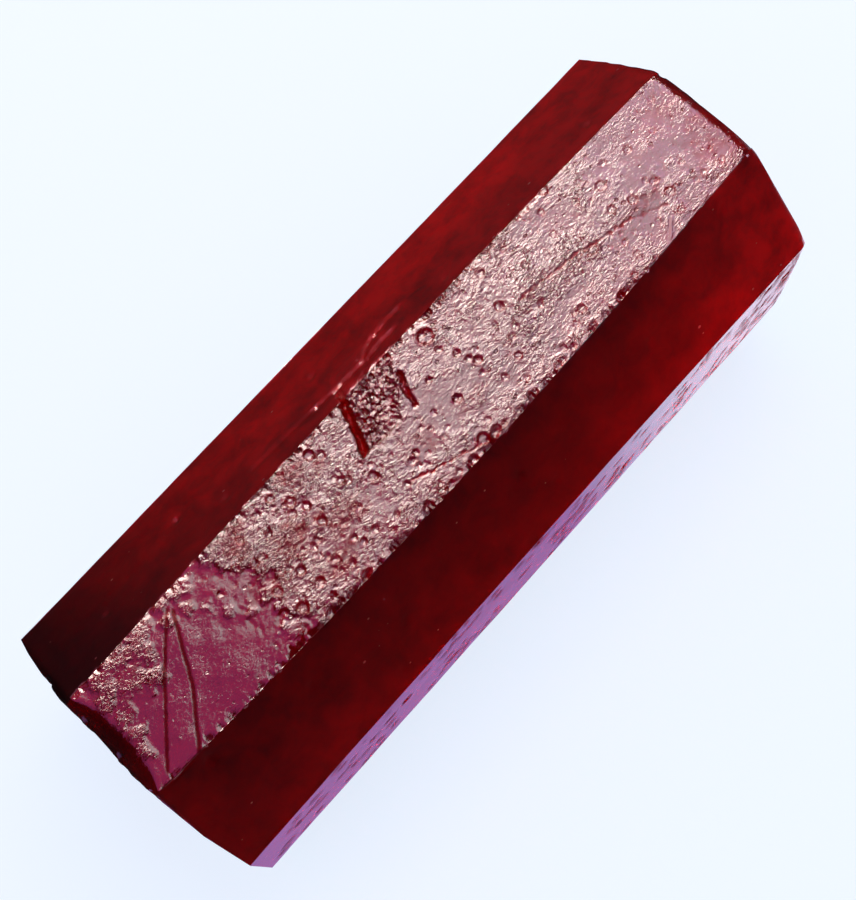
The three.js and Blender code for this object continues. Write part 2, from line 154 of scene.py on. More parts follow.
# %% Lay the bar down and cut its faces into a fine grid
BAR_LENGTH = 2 * HALF_LENGTH
bpy.ops.object.select_all(action="DESELECT")
bpy.ops.mesh.primitive_cylinder_add(
    vertices=8,
    radius=HALF_ACROSS / math.cos(math.pi / 8) * MM,
    depth=BAR_LENGTH * MM,
    end_fill_type="NOTHING",
    location=(0, 0, HALF_ACROSS * MM),
    rotation=(0, math.pi / 2, 0),
)
crystal = bpy.context.object
crystal.name = "crystal_skin"
bpy.ops.object.transform_apply(location=True, rotation=True, scale=True)
bpy.ops.object.mode_set(mode="EDIT")
bpy.ops.mesh.select_all(action="SELECT")
bpy.ops.transform.rotate(value=math.pi / 8, orient_axis="X", center_override=(0, 0, HALF_ACROSS * MM))


def select_edges(is_wanted):
    """Selects the edges whose two ends pass the test, in millimetres from the axis."""
    bpy.ops.mesh.select_mode(type="EDGE")
    bpy.ops.mesh.select_all(action="DESELECT")
    mesh = bmesh.from_edit_mesh(crystal.data)
    centre = Vector((0, 0, HALF_ACROSS * MM))
    for edge in mesh.edges:
        a = (edge.verts[0].co - centre) / MM
        b = (edge.verts[1].co - centre) / MM
        if is_wanted(a, b):
            edge.select_set(True)
    bmesh.update_edit_mesh(crystal.data)


def face_axes(side):
    """A long face's outward direction, and the direction across it, as (y, z)."""
    angle = math.pi / 2 - side * math.pi / 4
    normal = (math.cos(angle), math.sin(angle))
    return normal, (-normal[1], normal[0])


select_edges(lambda a, b: abs(a.x - b.x) > 1)
bpy.ops.mesh.subdivide(number_cuts=STATIONS // 3 - 1)
select_edges(lambda a, b: abs(a.x - b.x) > 0.1)
bpy.ops.mesh.subdivide(number_cuts=2)
for side, columns in COLUMNS.items():
    (ny, nz), _ = face_axes(side)

    def is_ring_edge(a, b):
        middle = (a + b) / 2
        on_face = middle.y * ny + middle.z * nz > HALF_ACROSS * 0.999
        return on_face and abs(a.x - b.x) < 0.01 and (a - b).length > 10

    select_edges(is_ring_edge)
    bpy.ops.mesh.subdivide(number_cuts=columns - 1)

print("sides:", len(crystal.data.vertices), "points before the ends are closed")

# %% [markdown]
# The open ends could be closed with one flat face each, but a flat face has no points to roughen. A
# grid fill gives a net of four-sided faces instead.

# %% Close both ends with a grid, and halve the top's steps
END_SPAN = 58
for end_side in (1, -1):
    end_x = end_side * HALF_LENGTH
    select_edges(lambda a, b: abs(a.x - end_x) < 0.01 and abs(b.x - end_x) < 0.01)
    bpy.ops.mesh.fill_grid(span=END_SPAN)
TOP_INNER = HALF_FACE + 0.01


def is_inner_top_step(a, b):
    is_top = a.z > HALF_ACROSS - 0.01 and abs(a.y) < TOP_INNER
    is_between_rims = -HALF_LENGTH + 4 < min(a.x, b.x) and max(a.x, b.x) < HALF_LENGTH - 3
    return is_top and abs(a.y - b.y) < 0.001 and abs(a.x - b.x) > 0.01 and is_between_rims


select_edges(is_inner_top_step)
bpy.ops.mesh.subdivide(number_cuts=1)
bpy.ops.mesh.select_all(action="SELECT")
bpy.ops.mesh.normals_make_consistent(inside=False)
bpy.ops.object.mode_set(mode="OBJECT")
print("bar:", len(crystal.data.vertices), "points and", len(crystal.data.polygons), "faces")

# %% [markdown]
# ## Where each point belongs
# Every point of the bar gets an address: which long face it is on, how far across that face (-1 to
# 1), how far along the bar, and how near the middle of an end it is. All later steps use addresses.

# %% Read the addresses
blank = np.zeros(len(crystal.data.vertices) * 3)
crystal.data.vertices.foreach_get("co", blank)
blank = blank.reshape(-1, 3) / MM
blank[:, 2] -= HALF_ACROSS
facing = np.stack([blank[:, 1] * n[0] + blank[:, 2] * n[1] for n, _ in map(face_axes, range(8))])
facing[TOP] += 0.0001
side_of = np.argmax(facing, axis=0)
reach_of = np.max(facing, axis=0) / HALF_ACROSS
across_axes = np.array([face_axes(side)[1] for side in range(8)])
across_of = blank[:, 1] * across_axes[side_of, 0] + blank[:, 2] * across_axes[side_of, 1]
across_of = np.clip(across_of / (HALF_FACE * np.maximum(reach_of, 1e-6)), -1, 1)
is_cap = (np.abs(blank[:, 0]) > HALF_LENGTH - 0.001) & (reach_of < 0.9999)
step_of = (blank[:, 0] / BAR_LENGTH + 0.5) * STATIONS

# The first and last columns of a face are narrow: they carry its worn edges.
EDGE_COLUMN = 0.12
columns_of = np.array([COLUMNS[side] for side in range(8)])[side_of]
column = (across_of + 1) / 2 * columns_of
narrow = EDGE_COLUMN / (2 * HALF_FACE)
inner_share = narrow + (column - 1) / (columns_of - 2) * (1 - 2 * narrow)
spaced = np.where(column < 1, column * narrow, inner_share)
spaced = np.where(column > columns_of - 1, 1 - (columns_of - column) * narrow, spaced)
across_of = np.where(is_cap, across_of, spaced * 2 - 1)
print("points on each long face:", np.bincount(side_of[~is_cap]), "and on the ends:", is_cap.sum())

# %% [markdown]
# ## The plain shape underneath
# The section is an eight-sided figure, a little uneven as grown crystals are. The upper face is
# slightly hollow towards the middle of the length, where fluids ate most of it.

# %% The section at any place along the crystal
CORNER_OF_FACE = {UPPER_RIGHT: 0, RIGHT: 1, LOWER_RIGHT: 2, BOTTOM: 3, LOWER_LEFT: 4, LEFT: 5,
                  UPPER_LEFT: 6, TOP: 7}
first_corner = np.array([CORNER_OF_FACE[side] for side in range(8)])


def section_corners(x):
    """The eight corners (y, z) of the section at x, as two arrays of 8 rows."""
    bulge = 1 - (x / HALF_LENGTH) ** 2
    eaten = HOLLOW * np.maximum(0, bulge)
    same = np.ones_like(x)
    high = (HALF_ACROSS + HALF_FACE) * same
    low = (HALF_ACROSS - HALF_FACE) * same
    y = [-HALF_FACE + 0.1 - eaten, -HALF_ACROSS + 0.2 * bulge, -HALF_ACROSS * same,
         (-HALF_FACE - 0.35) * same, (HALF_FACE + 0.3) * same, (HALF_ACROSS - 0.15) * same,
         HALF_ACROSS * same, HALF_FACE - 1.1 + eaten + 0.006 * x]
    z = [ACROSS - eaten, high, low, 0 * same, 0 * same, low + 0.5, high, ACROSS - eaten]
    return np.array(y), np.array(z)


def on_section(x, side, across, inset=0.0):
    """The point (y, z) at that place across a long face, drawn in towards the axis by inset."""
    y, z = section_corners(x)
    here = first_corner[side]
    after = (here + 1) % 8
    index = np.arange(len(x))
    share = (across + 1) / 2
    shrink = 1 - inset / HALF_ACROSS
    point_y = y[here, index] * (1 - share) + y[after, index] * share
    point_z = z[here, index] * (1 - share) + z[after, index] * share
    return point_y * shrink, HALF_ACROSS + (point_z - HALF_ACROSS) * shrink


def end_plane(end, y, z):
    """Where the end's plane is, with what it stands out beyond the CAD's."""
    plain = end["side"] * HALF_LENGTH + end["tilt_y"] * y + end["tilt_z"] * (z - HALF_ACROSS)
    return plain + end["side"] * np.interp(y, end["more_at"], end["more"])


def rim_radius(end, side, across):
    """The rim is wide on the upper face and narrower elsewhere, and narrowest at the corners."""
    wide = np.where(side == TOP, end["rim"], end["side_rim"])
    return wide + (end["corner_rim"] - wide) * np.abs(across) ** 3


def rim_wear(end, side, across, turn):
    """How far the worn rim stands off its plain shape, as in the CAD."""
    index = first_corner[side] * 5 + (across + 1) / 2 * 5
    wear = noise(index * 0.61, turn * 2, end["seed"])
    last = noise(np.full_like(index, 39 * 0.61), turn * 2, end["seed"])
    start = noise(np.zeros_like(index), turn * 2, end["seed"])
    wear = np.where(index > 39, last + (start - last) * (index - 39), wear)
    swell = 0.3 * turn * np.sin(np.pi * (across + 1) / 2)
    return 0.16 * turn * wear + swell


print("section width at the middle:", round(float(np.ptp(section_corners(np.zeros(1))[0])), 2), "mm")

# %% [markdown]
# Now the points move onto the plain shape. Along the faces they are spread evenly, and over a worn rim
# they follow a quarter turn, so the rim is round. The end faces bulge a little and are rough.

# %% Place every point on the worn prism
RIM_STATIONS = {1: 6, -1: 10}
face_share = np.clip((step_of - RIM_STATIONS[-1]) / (STATIONS - RIM_STATIONS[1] - RIM_STATIONS[-1]), 0, 1)
foot_start = -HALF_LENGTH + FOOT["rim"]
head_start = HALF_LENGTH - HEAD["rim"]
section_x = foot_start + (head_start - foot_start) * face_share
y, z = on_section(section_x, side_of, across_of)
low = end_plane(FOOT, y, z) + rim_radius(FOOT, side_of, across_of)
high = end_plane(HEAD, y, z) - rim_radius(HEAD, side_of, across_of)
place = np.stack([low + (high - low) * face_share, y, z], axis=1)
for end in (HEAD, FOOT):
    sign = end["side"]
    steps_in = RIM_STATIONS[sign]
    from_end = STATIONS - step_of if sign > 0 else step_of
    turn = np.clip(1 - from_end / steps_in, 0, 1)
    chosen = (turn > 0) & ~is_cap
    angle = turn[chosen] * np.pi / 2
    rim = rim_radius(end, side_of[chosen], across_of[chosen])
    back = rim * (1 - np.sin(angle))
    inset = rim * (1 - np.cos(angle))
    y, z = on_section(sign * (HALF_LENGTH - back), side_of[chosen], across_of[chosen], inset)
    worn = rim_wear(end, side_of[chosen], across_of[chosen], turn[chosen])
    place[chosen] = np.stack([end_plane(end, y, z) + sign * (worn - back), y, z], axis=1)
    chosen = is_cap & (blank[:, 0] * sign > 0)
    reach = reach_of[chosen]
    full = np.full(chosen.sum(), sign * HALF_LENGTH)
    rim = rim_radius(end, side_of[chosen], across_of[chosen])
    y, z = on_section(full, side_of[chosen], across_of[chosen], rim)
    worn = rim_wear(end, side_of[chosen], across_of[chosen], np.ones_like(reach))
    y = y * reach
    z = HALF_ACROSS + (z - HALF_ACROSS) * reach
    relief = end["dome"] * (1 - reach ** 2)
    relief = relief + end["rough"] * noise(y / 3, z / 3, end["seed"]) * (1 - reach ** 6)
    relief = relief + worn * np.clip((reach - 0.86) / 0.14, 0, 1)
    place[chosen] = np.stack([end_plane(end, y, z) + sign * relief, y, z], axis=1)
print("placed:", place.min(axis=0).round(2), place.max(axis=0).round(2))

# %% [markdown]
# ## Broken ends
# Real crystals part along slanting planes. Each break is a plane, and every point that stands out
# beyond it is pushed back onto it. Cutting with a boolean would be exact, but would leave few points.

# %% Break the ends
END_BREAKS = [
    (HEAD, 5, 6, 0.2, -0.07, 0.03),
    (HEAD, -3, -8, 0.45, -0.03, -0.11),
    (HEAD, 8, -6, 0.5, 0.0, -0.05),
    (HEAD, -10, -6, 0.4, -0.13, -0.1),
    (FOOT, 6, 4, 0.3, 0.1, 0.02),
    (FOOT, -6, 5, 0.35, -0.05, 0.04),
    (FOOT, -8, -5, 0.55, -0.12, -0.03),
    (FOOT, 4, -9, 0.45, 0.04, -0.14),
    (FOOT, 10, -4, 0.3, 0.16, -0.02),
]
# Only points this far from the middle can belong to a break, in millimetres.
BREAKS_FROM = 35
for end, y, z, under, tilt_y, tilt_z in END_BREAKS:
    dome_here = end["dome"] * (1 - (y * y + z * z) / HALF_ACROSS ** 2)
    height = HALF_ACROSS + z
    origin = np.array([end_plane(end, y, height) + end["side"] * (dome_here - under), y, height])
    normal = np.array([end["side"], tilt_y, tilt_z])
    beyond = (place - origin) @ normal
    is_beyond = (beyond > 0) & (place[:, 0] * end["side"] > BREAKS_FROM)
    place[is_beyond, 0] -= beyond[is_beyond] / normal[0]
    print("break at", (y, z), "moved", is_beyond.sum(), "points")

# %% [markdown]
# ## Chips on the rims
# A blow takes a shell-shaped flake out of brittle crystal. Each chip is a ball that stands partly
# outside the rim, and the points inside it are pushed in to its far wall.

# %% Chip the rims
CHIP_SINK = 0.55
UPPER_CHIP_SHARE = 0.5
# The CAD draws this many more numbers for each chip's facets. They are skipped here.
CAD_CHIP_DRAWS = 20
RIM_CHIPS = [(HEAD, 13, 1.0, 2.8, 51), (FOOT, 15, 1.2, 3.2, 52)]


def rim_point(end, index):
    """The CAD's point number index on the worn rim, at 0.62 of the turn."""
    turn = 0.62
    sides = {corner: side for side, corner in CORNER_OF_FACE.items()}
    side = np.array([sides[index // 5]])
    across = np.array([(index % 5) / 5 * 2 - 1])
    angle = turn * math.pi / 2
    inset = end["rim"] * (1 - math.cos(angle))
    back = end["rim"] * (1 - math.sin(angle))
    y, z = on_section(np.array([end["side"] * (HALF_LENGTH - back)]), side, across, inset)
    worn = rim_wear(end, side, across, np.array([turn]))
    x = end_plane(end, y, z) + end["side"] * (worn - back)
    return np.array([x[0], y[0], z[0]])


for end, count, small, large, seed in RIM_CHIPS:
    random = seeded_random(seed)
    for index in range(count):
        on_rim = rim_point(end, int((index + next(random) * 0.8) / count * 40) % 40)
        radius = small + (large - small) * next(random)
        radius *= UPPER_CHIP_SHARE if on_rim[2] > HALF_ACROSS else 1
        for _ in range(CAD_CHIP_DRAWS):
            next(random)
        outward = np.array([end["side"], on_rim[1] / HALF_ACROSS, on_rim[2] / HALF_ACROSS - 1])
        outward /= np.linalg.norm(outward)
        centre = on_rim + outward * radius * CHIP_SINK
        radii = np.array([0.8, 1.15, 1.15]) * radius * 0.95
        offset = (place - centre) / radii
        way = -outward / radii
        is_inside = np.sum(offset * offset, axis=1) < 1
        a = way @ way
        b = offset[is_inside] @ way
        c = np.sum(offset[is_inside] ** 2, axis=1) - 1
        reach = (-b + np.sqrt(b * b - a * c)) / a
        place[is_inside] -= np.outer(reach, outward)
print("chipped:", place.min(axis=0).round(2), place.max(axis=0).round(2))

# %% [markdown]
# ## Relief of the long faces
# From here on a point only moves in or out along its own face. The heights are worked out on the
# flat face first, with u along the crystal and v across it, both in millimetres.

# %% Addresses on the flat faces
u = place[:, 0].copy()
corner_y, corner_z = section_corners(np.clip(u, -HALF_LENGTH, HALF_LENGTH))
index = np.arange(len(u))
first = first_corner[side_of]
second = (first + 1) % 8
run_y = corner_y[second, index] - corner_y[first, index]
run_z = corner_z[second, index] - corner_z[first, index]
width = np.hypot(run_y, run_z)
face_normal = np.stack([np.zeros_like(u), run_z / width, -run_y / width], axis=1)
v = across_of * width / 2
off_cap = ~is_cap
rim_fade = np.where(is_cap, 0.0, smooth((43.6 - np.abs(u)) / 2.0) * 0.85 + 0.15)
relief = np.zeros(len(u))
gloss_loss = np.zeros(len(u))
dullness = np.zeros(len(u))


def pit(chosen, centre_u, centre_v, radius, depth, stretch=1.0, spin=0.0, lip=0.0, floor=0.5, dull=0.75):
    """A crater with a flat floor: floor is the floor's share of the radius."""
    du = u[chosen] - centre_u
    dv = v[chosen] - centre_v
    along = (du * math.cos(spin) + dv * math.sin(spin)) / (radius * stretch)
    over = (-du * math.sin(spin) + dv * math.cos(spin)) / radius
    share = np.hypot(along, over)
    wall = 1 - smooth((share - floor) / (1.02 - floor))
    ring = np.exp(-((share - 1.12) / 0.2) ** 2)
    dull_ring = dull * np.exp(-((share - 0.9) / 0.2) ** 2) * min(1, radius / 0.35, depth / radius / 0.08)
    gloss_loss[chosen] = np.maximum(gloss_loss[chosen], dull_ring)
    return -depth * wall + lip * ring


def depth_along(x):
    """Craters are shallower towards the head."""
    return float(np.interp(x, [-42, -25, -22, 8, 25, 45], [0.12, 0.15, 1.0, 1.0, 0.6, 0.45]))


def add_pits(side, pits):
    """Adds craters given as (u, v, radius, depth, stretch, spin, lip, floor) to one face."""
    on_face = np.nonzero((side_of == side) & off_cap)[0]
    for centre_u, centre_v, radius, depth, stretch, spin, lip, floor, *dull in pits:
        far = radius * stretch * 1.8
        near = (np.abs(u[on_face] - centre_u) < far) & (np.abs(v[on_face] - centre_v) < far)
        chosen = on_face[near]
        share = depth_along(centre_u) if side == TOP else 1.0
        shape = (radius, depth * share, stretch, spin, lip * share, floor, *dull)
        relief[chosen] += pit(chosen, centre_u, centre_v, *shape)


print("craters: a flat floor, a steep wall and a low lip")

# %% [markdown]
# ## Craters
# Etching starts at flaws in the crystal and digs round craters with flat floors. The larger ones are in
# the CAD too, so the same seeds place them here. On the upper face they are drawn smaller and shallower
# than in the CAD, because the fine mesh shows their sharp walls.

# %% The craters that the CAD has too
PITTING = [
    (TOP, 84, 0.32, 0.85, -27, 43, True, 5, 1.0),
    (TOP, 12, 0.35, 0.8, -42, -35, True, 6, 1.0),
    (UPPER_RIGHT, 7, 0.35, 0.7, -40, 42, False, 7, 1.0),
    (RIGHT, 20, 0.4, 0.7, -41, 41, False, 8, 2.2),
    (LOWER_RIGHT, 16, 0.4, 1.0, -41, 41, False, 9, 1.0),
    (BOTTOM, 12, 0.4, 0.8, -40, 40, False, 10, 1.0),
    (LOWER_LEFT, 15, 0.4, 1.0, -41, 41, False, 12, 1.0),
    (LEFT, 14, 0.4, 0.9, -41, 41, False, 13, 1.0),
    (UPPER_LEFT, 7, 0.35, 0.7, -40, 42, False, 14, 1.0),
]


# Half a face's width near the middle of the crystal: a side face's, then the upper face's.
MIDDLE_HALF = (7.0, 6.9)
REST_CLEAR_RADIUS = 5


def face_point(side, x, across):
    y, z = on_section(np.array([x]), np.array([side]), np.array([across]))
    return np.array([x, y[0], z[0]])


def cad_pits(side, count, small, large, start, stop, lips, seed, stretch):
    """The places of the CAD's pits on a face, drawn from the same random numbers."""
    random = seeded_random(seed)
    kept = []
    while len(kept) < count:
        x = start + (stop - start) * next(random)
        across = (next(random) * 2 - 1) * 0.86
        radius = small + (large - small) * next(random) ** 1.5
        point = face_point(side, x, across)
        spin = (next(random) - 0.5) * 0.5
        if any(np.linalg.norm(other - point) < (reach + radius) * 1.5 for other, reach, *_ in kept):
            continue
        if side == BOTTOM and math.hypot(point[0], point[1]) < REST_CLEAR_RADIUS:
            continue
        in_gouge = -9.5 < point[0] < 6.5 and -1 < point[1] < 12
        if in_gouge and side in (TOP, UPPER_LEFT):
            continue
        kept.append((point, radius, across, spin))
    half = MIDDLE_HALF[side == TOP]
    size, depth = (0.72, 0.11) if side == TOP else (1, 0.34)
    middle_lip = (small + large) / 2
    return [
        (point[0], across * half, radius * size, radius * depth, stretch, spin,
         0.06 * radius if lips and radius > middle_lip else 0.03 * radius, 0.7)
        for point, radius, across, spin in kept
    ]


for pitting in PITTING:
    add_pits(pitting[0], cad_pits(*pitting))
print("relief after the craters:", relief.min().round(2), relief.max().round(2))

# %% [markdown]
# ## The upper face
# It was eaten by fluids while the crystal was still in the ground. Most of it is grainy, like orange
# peel, with round craters. Towards the foot it is smooth, with a few rough islands.

# %% Zones of the upper face
on_top = (side_of == TOP) & off_cap
# v runs towards -Y, so y on the upper face is -v.
y_top = place[:, 1]
PITTED_EDGE_Y = [-7.3, -1.7, -0.5, 3.9, 6.9]
PITTED_EDGE_X = [-22.5, -24.4, -22.4, -25.6, -26.4]
pitted_from = np.interp(y_top, PITTED_EDGE_Y, PITTED_EDGE_X) + 0.9 * noise(y_top / 0.9, u / 2, 61)
blur = 0.55 * noise(u / 0.8, y_top / 0.8, 62) + 0.35 * noise(u / 0.35, y_top / 0.35, 63)
pitted = smooth((u - pitted_from + 1.2 * blur) / 2.2 + 0.3)
# (x, y, radius) of rough islands in the smooth zone.
ROUGH_ISLANDS = [
    (-29.3, 5.8, 1.2), (-30.0, 3.4, 0.6), (-28.8, 2.0, 0.55), (-27.4, 0.6, 0.6), (-25.9, -1.3, 0.5),
    (-31.4, 6.4, 1.2), (-33.0, 7.3, 1.2), (-36.2, 6.4, 1.5), (-38.6, 5.2, 2.0), (-40.6, 4.6, 1.5),
    (-39.0, 2.6, 1.7), (-36.4, 4.0, 1.6), (-37.4, 1.2, 1.2), (-41.3, 1.0, 1.2), (-42.2, -1.4, 1.2),
    (-41.8, 2.6, 1.2), (-32.4, 4.2, 0.8), (-43.0, -3.4, 0.8), (-34.6, 5.4, 1.2), (-24.6, -5.8, 1.0),
]


def gap_to(x, y, stretch=1.0):
    """How far each point of the upper face is from (x, y), in millimetres."""
    return np.hypot((u - x) / stretch, y_top - y)


island = np.zeros(len(u))
for x, y, radius in ROUGH_ISLANDS:
    island = np.maximum(island, 0.6 * smooth((radius - (gap_to(x, y) + blur)) / 1.3 + 0.5))
rough_zone = np.maximum(pitted, island)
print("rough share of the upper face:", rough_zone[on_top].mean().round(2))

# %% [markdown]
# Inside the grainy zone lie calm pools that look melted, where etching has run together, and duller
# stains where the polish is gone and the red shows through. Both are soft-edged spots with a ragged
# outline: a distance to a centre, roughened with noise.

# %% Places of the clear rings, the calm pools and the stains
# (x, y, radius)
CLEAR_RINGS = [
    (-14.6, 2.4, 0.5), (-14.7, 0.2, 0.55), (-10.4, 1.6, 0.5), (-19.8, -1.7, 0.55), (-22.9, -1.4, 0.6),
    (-22.4, -4.4, 0.65), (2.4, -6.3, 0.7), (-10.6, 5.9, 0.6), (-15.4, 3.9, 0.6), (-16.5, 5.7, 0.5),
    (14.2, 1.9, 0.55), (19.6, -4.7, 0.5), (8.4, -0.3, 0.5), (6.7, 5.5, 0.95), (11.5, -3.1, 0.45),
]
# (x, y, radius)
POOLS = [(2.0, -1.0, 3.0), (8.0, -2.6, 3.4), (24.5, 4.4, 3.0), (38.0, 3.0, 4.4), (30.0, -3.4, 3.0),
         (12.0, 1.0, 2.2), (-2.5, -2.0, 2.2), (42.0, -2.0, 3.4), (5.0, 3.0, 1.6), (17.0, -4.6, 2.4),
         (22.0, -4.8, 2.6), (-9.0, -3.6, 2.4), (-15.0, -3.0, 2.0), (33.0, 1.5, 3.0)]
calm = np.zeros(len(u))
for x, y, radius in POOLS:
    calm = np.maximum(calm, smooth((radius - (gap_to(x, y, 1.4) + 1.6 * blur)) / 1.2 + 0.5))
for x, y, radius in CLEAR_RINGS:
    calm = np.maximum(calm, smooth((1.7 * radius - gap_to(x, y)) / 0.4))

# (x, y, reach in x, reach in y, strength)
STAINS = [
    (44.5, -3.4, 3.2, 3.6, 0.4), (42.5, 3.3, 2.4, 1.6, 0.25), (-2.0, -2.0, 2.2, 1.5, 0.4),
    (-13.0, -2.0, 2.6, 1.4, 0.5), (-18.5, 0.6, 2.4, 1.5, 0.8), (-23.5, -0.6, 2.0, 1.3, 0.5),
    (-22.5, 4.2, 1.2, 1.2, 0.6), (-14.5, 0.4, 0.8, 0.6, 0.7), (-13.5, 5.5, 1.5, 0.7, 0.7),
    (-10.5, 3.8, 0.8, 0.6, 0.6), (-16.5, -4.5, 2.2, 1.2, 0.7), (4.5, -3.1, 2.6, 1.0, 0.25),
    (32.5, -2.3, 2.0, 0.8, 0.5), (-20.5, 5.6, 1.0, 0.6, 0.6),
]
stain = np.zeros(len(u))
blotch = noise(u / 0.9, y_top / 0.7, 182)
for centre_x, centre_y, reach_x, reach_y, amount in STAINS:
    gap = np.hypot((u - centre_x) / reach_x, (y_top - centre_y) / reach_y) + 0.6 * blotch
    stain = np.maximum(stain, amount * smooth(1.5 - gap))
stain = np.maximum(stain, 0.65 * rough_zone * smooth((-26.5 - u) / 2))
stain = np.where(on_top, stain, 0)
print("stained share of the upper face:", stain[on_top].mean().round(2))

# %% [markdown]
# ## Grain
# The etched skin is like orange peel with thin ridges and furrows that wind through it. Round lumps
# come from smooth noise. Ridges are where a second noise crosses zero, drawn out along the crystal.

# %% Grain of the upper face
lumps = 0.7 * noise(u / 0.5, v / 0.34, 64) + 0.7 * noise(u / 0.3, v / 0.24, 65)
warp_u = u / 0.85 + 0.8 * noise(v / 1.1, u / 1.1, 67)
warp_v = v / 0.55 + 0.8 * noise(u / 1.1, v / 1.1, 77)
worms = np.clip(1 - np.abs(noise(warp_u, warp_v, 66)) / 0.2, 0, 1)
worms = worms - 0.8 * np.clip(1 - np.abs(noise(warp_u + 7.3, warp_v * 0.9, 78)) / 0.16, 0, 1)
strength_at = [-40, -27, -23, -18, -8, 3, 14, 25, 34, 45]
strength = np.interp(u, strength_at, [0.8, 0.9, 1.1, 1.05, 0.95, 0.85, 1.2, 1.05, 0.7, 0.55])
grain_size = (0.04 + 0.016 * noise(u / 4, v / 3, 68)) * strength * np.interp(u, [-27, -24], [0.65, 1.0])
grain = (lumps * 0.5 + worms * 0.7) * grain_size * (1 - 0.6 * calm)
waves = 0.05 * noise(u / 5, v / 4, 69) + 0.02 * noise(u / 1.8, v / 1.5, 70)
fine = 0.004 * noise(u / 0.35, v / 0.3, 71)
step_down = -0.07 * (1 - rough_zone) * smooth((-20 - u) / 3)
top_relief = grain * rough_zone + waves + fine + step_down
relief[on_top] += (top_relief * rim_fade)[on_top]
print("grain:", (grain * rough_zone)[on_top].std().round(3), "mm of spread")

# %% [markdown]
# Single craters come last, so that they cut cleanly into the grain: a few clear rings, many pinholes
# that crowd towards the foot, and more along both long edges of the face.

# %% Rings and pinholes of the upper face
add_pits(TOP, [(x, -y, radius, 0.2 * min(radius, 0.45), 1.0, 0.0, 0.12 * min(radius, 0.45), 0.7, 1.0)
               for x, y, radius in CLEAR_RINGS])
SCATTERED_PITS = 240
random = np.random.default_rng(72)
small_pits = []
while len(small_pits) < SCATTERED_PITS:
    x = -27 + 70 * random.random() ** 1.9
    y = random.uniform(-6.8, 6.8)
    radius = 0.2 + 0.22 * random.random() ** 2
    small_pits.append((x, y, radius, radius * random.uniform(0.2, 0.4), random.uniform(1, 1.4),
                       random.uniform(-1, 1), 0.06 * radius, random.uniform(0.1, 0.6)))
for edge_y, count in ((7.0, 34), (-7.0, 26)):
    for _ in range(count):
        radius = random.uniform(0.25, 0.6)
        x = random.uniform(-22 if edge_y > 0 else -12, 30)
        y = edge_y + random.uniform(-0.4, 0.1)
        small_pits.append((x, y, radius, 0.35 * radius, random.uniform(1, 1.5), random.uniform(-1, 1),
                           0.05 * radius, 0.4))
add_pits(TOP, small_pits)
print("small pits:", len(small_pits))

# %% [markdown]
# ## Nibbled edges
# The two long edges of the upper face have lost many small bites. A bevel would make them evenly blunt.
# Lowering the points near the edge by an uneven amount keeps the bites apart.

# %% Nibble the long edges of the upper face
def nibbled(seed):
    """How much of an edge is lost along the crystal: small bites everywhere, with larger ones between."""
    small = np.maximum(0, noise(u / 0.28, u * 0 + 3, seed))
    middle = np.maximum(0, noise(u / 0.9, u * 0 + 5, seed + 1) - 0.1)
    large = np.maximum(0, noise(u / 3.2, u * 0 + 7, seed + 2) - 0.35)
    return 0.7 * small + 0.6 * middle + 0.8 * large


gap_first = (1 + across_of) * width / 2
gap_second = (1 - across_of) * width / 2
bite_first = nibbled(73)
bite_second = nibbled(83)
nibble = 0.36 * bite_first * np.clip(1 - gap_first / (0.25 + 0.6 * bite_first), 0, 1)
nibble = nibble + 0.5 * bite_second * np.clip(1 - gap_second / (0.25 + 0.8 * bite_second), 0, 1)
nibble_share = np.interp(u, [-44, -28, -22, 22, 28, 44], [0.3, 0.35, 0.9, 1.0, 0.1, 0.0])
relief[on_top] -= (nibble * nibble_share)[on_top]
print("deepest bite:", (nibble * nibble_share)[on_top].max().round(2), "mm")

# %% [markdown]
# ## The side faces
# They kept their growth polish, with only gentle waves and a faint skin. The right face also has fine
# pits drawn out along the crystal, which crowd towards the head.

# %% Waves and drawn-out pits of the side faces
for side in range(1, 8):
    chosen = (side_of == side) & off_cap
    seed = 80 + side * 5
    gentle = 0.03 * noise(u / 6, v / 4, seed) + 0.010 * noise(u / 1.6, v / 1.1, seed + 1)
    skin = 0.003 * noise(u / 0.5, v / 0.4, seed + 2)
    relief[chosen] += ((gentle + skin - 0.03) * rim_fade)[chosen]
random = np.random.default_rng(90)
flecks = [(44 - 87 * random.random() ** 1.5, random.uniform(-6.4, 6.4), random.uniform(0.26, 0.5),
           random.uniform(0.2, 0.36), random.uniform(1.2, 2.6), random.uniform(-0.12, 0.12), 0.03, 0.3)
          for _ in range(190)]
add_pits(RIGHT, flecks)
# On the upper right face a small ring stands near the head.
add_pits(UPPER_RIGHT, [(38.2, -4.6, 0.5, 0.14, 1.0, 0.0, 0.1, 0.55)])

# %% [markdown]
# ## Cracks and ledges
# Old cracks healed but stayed open at the surface as narrow grooves. The upper left face has a long
# shallow ledge next to the upper face, where a sliver came off.

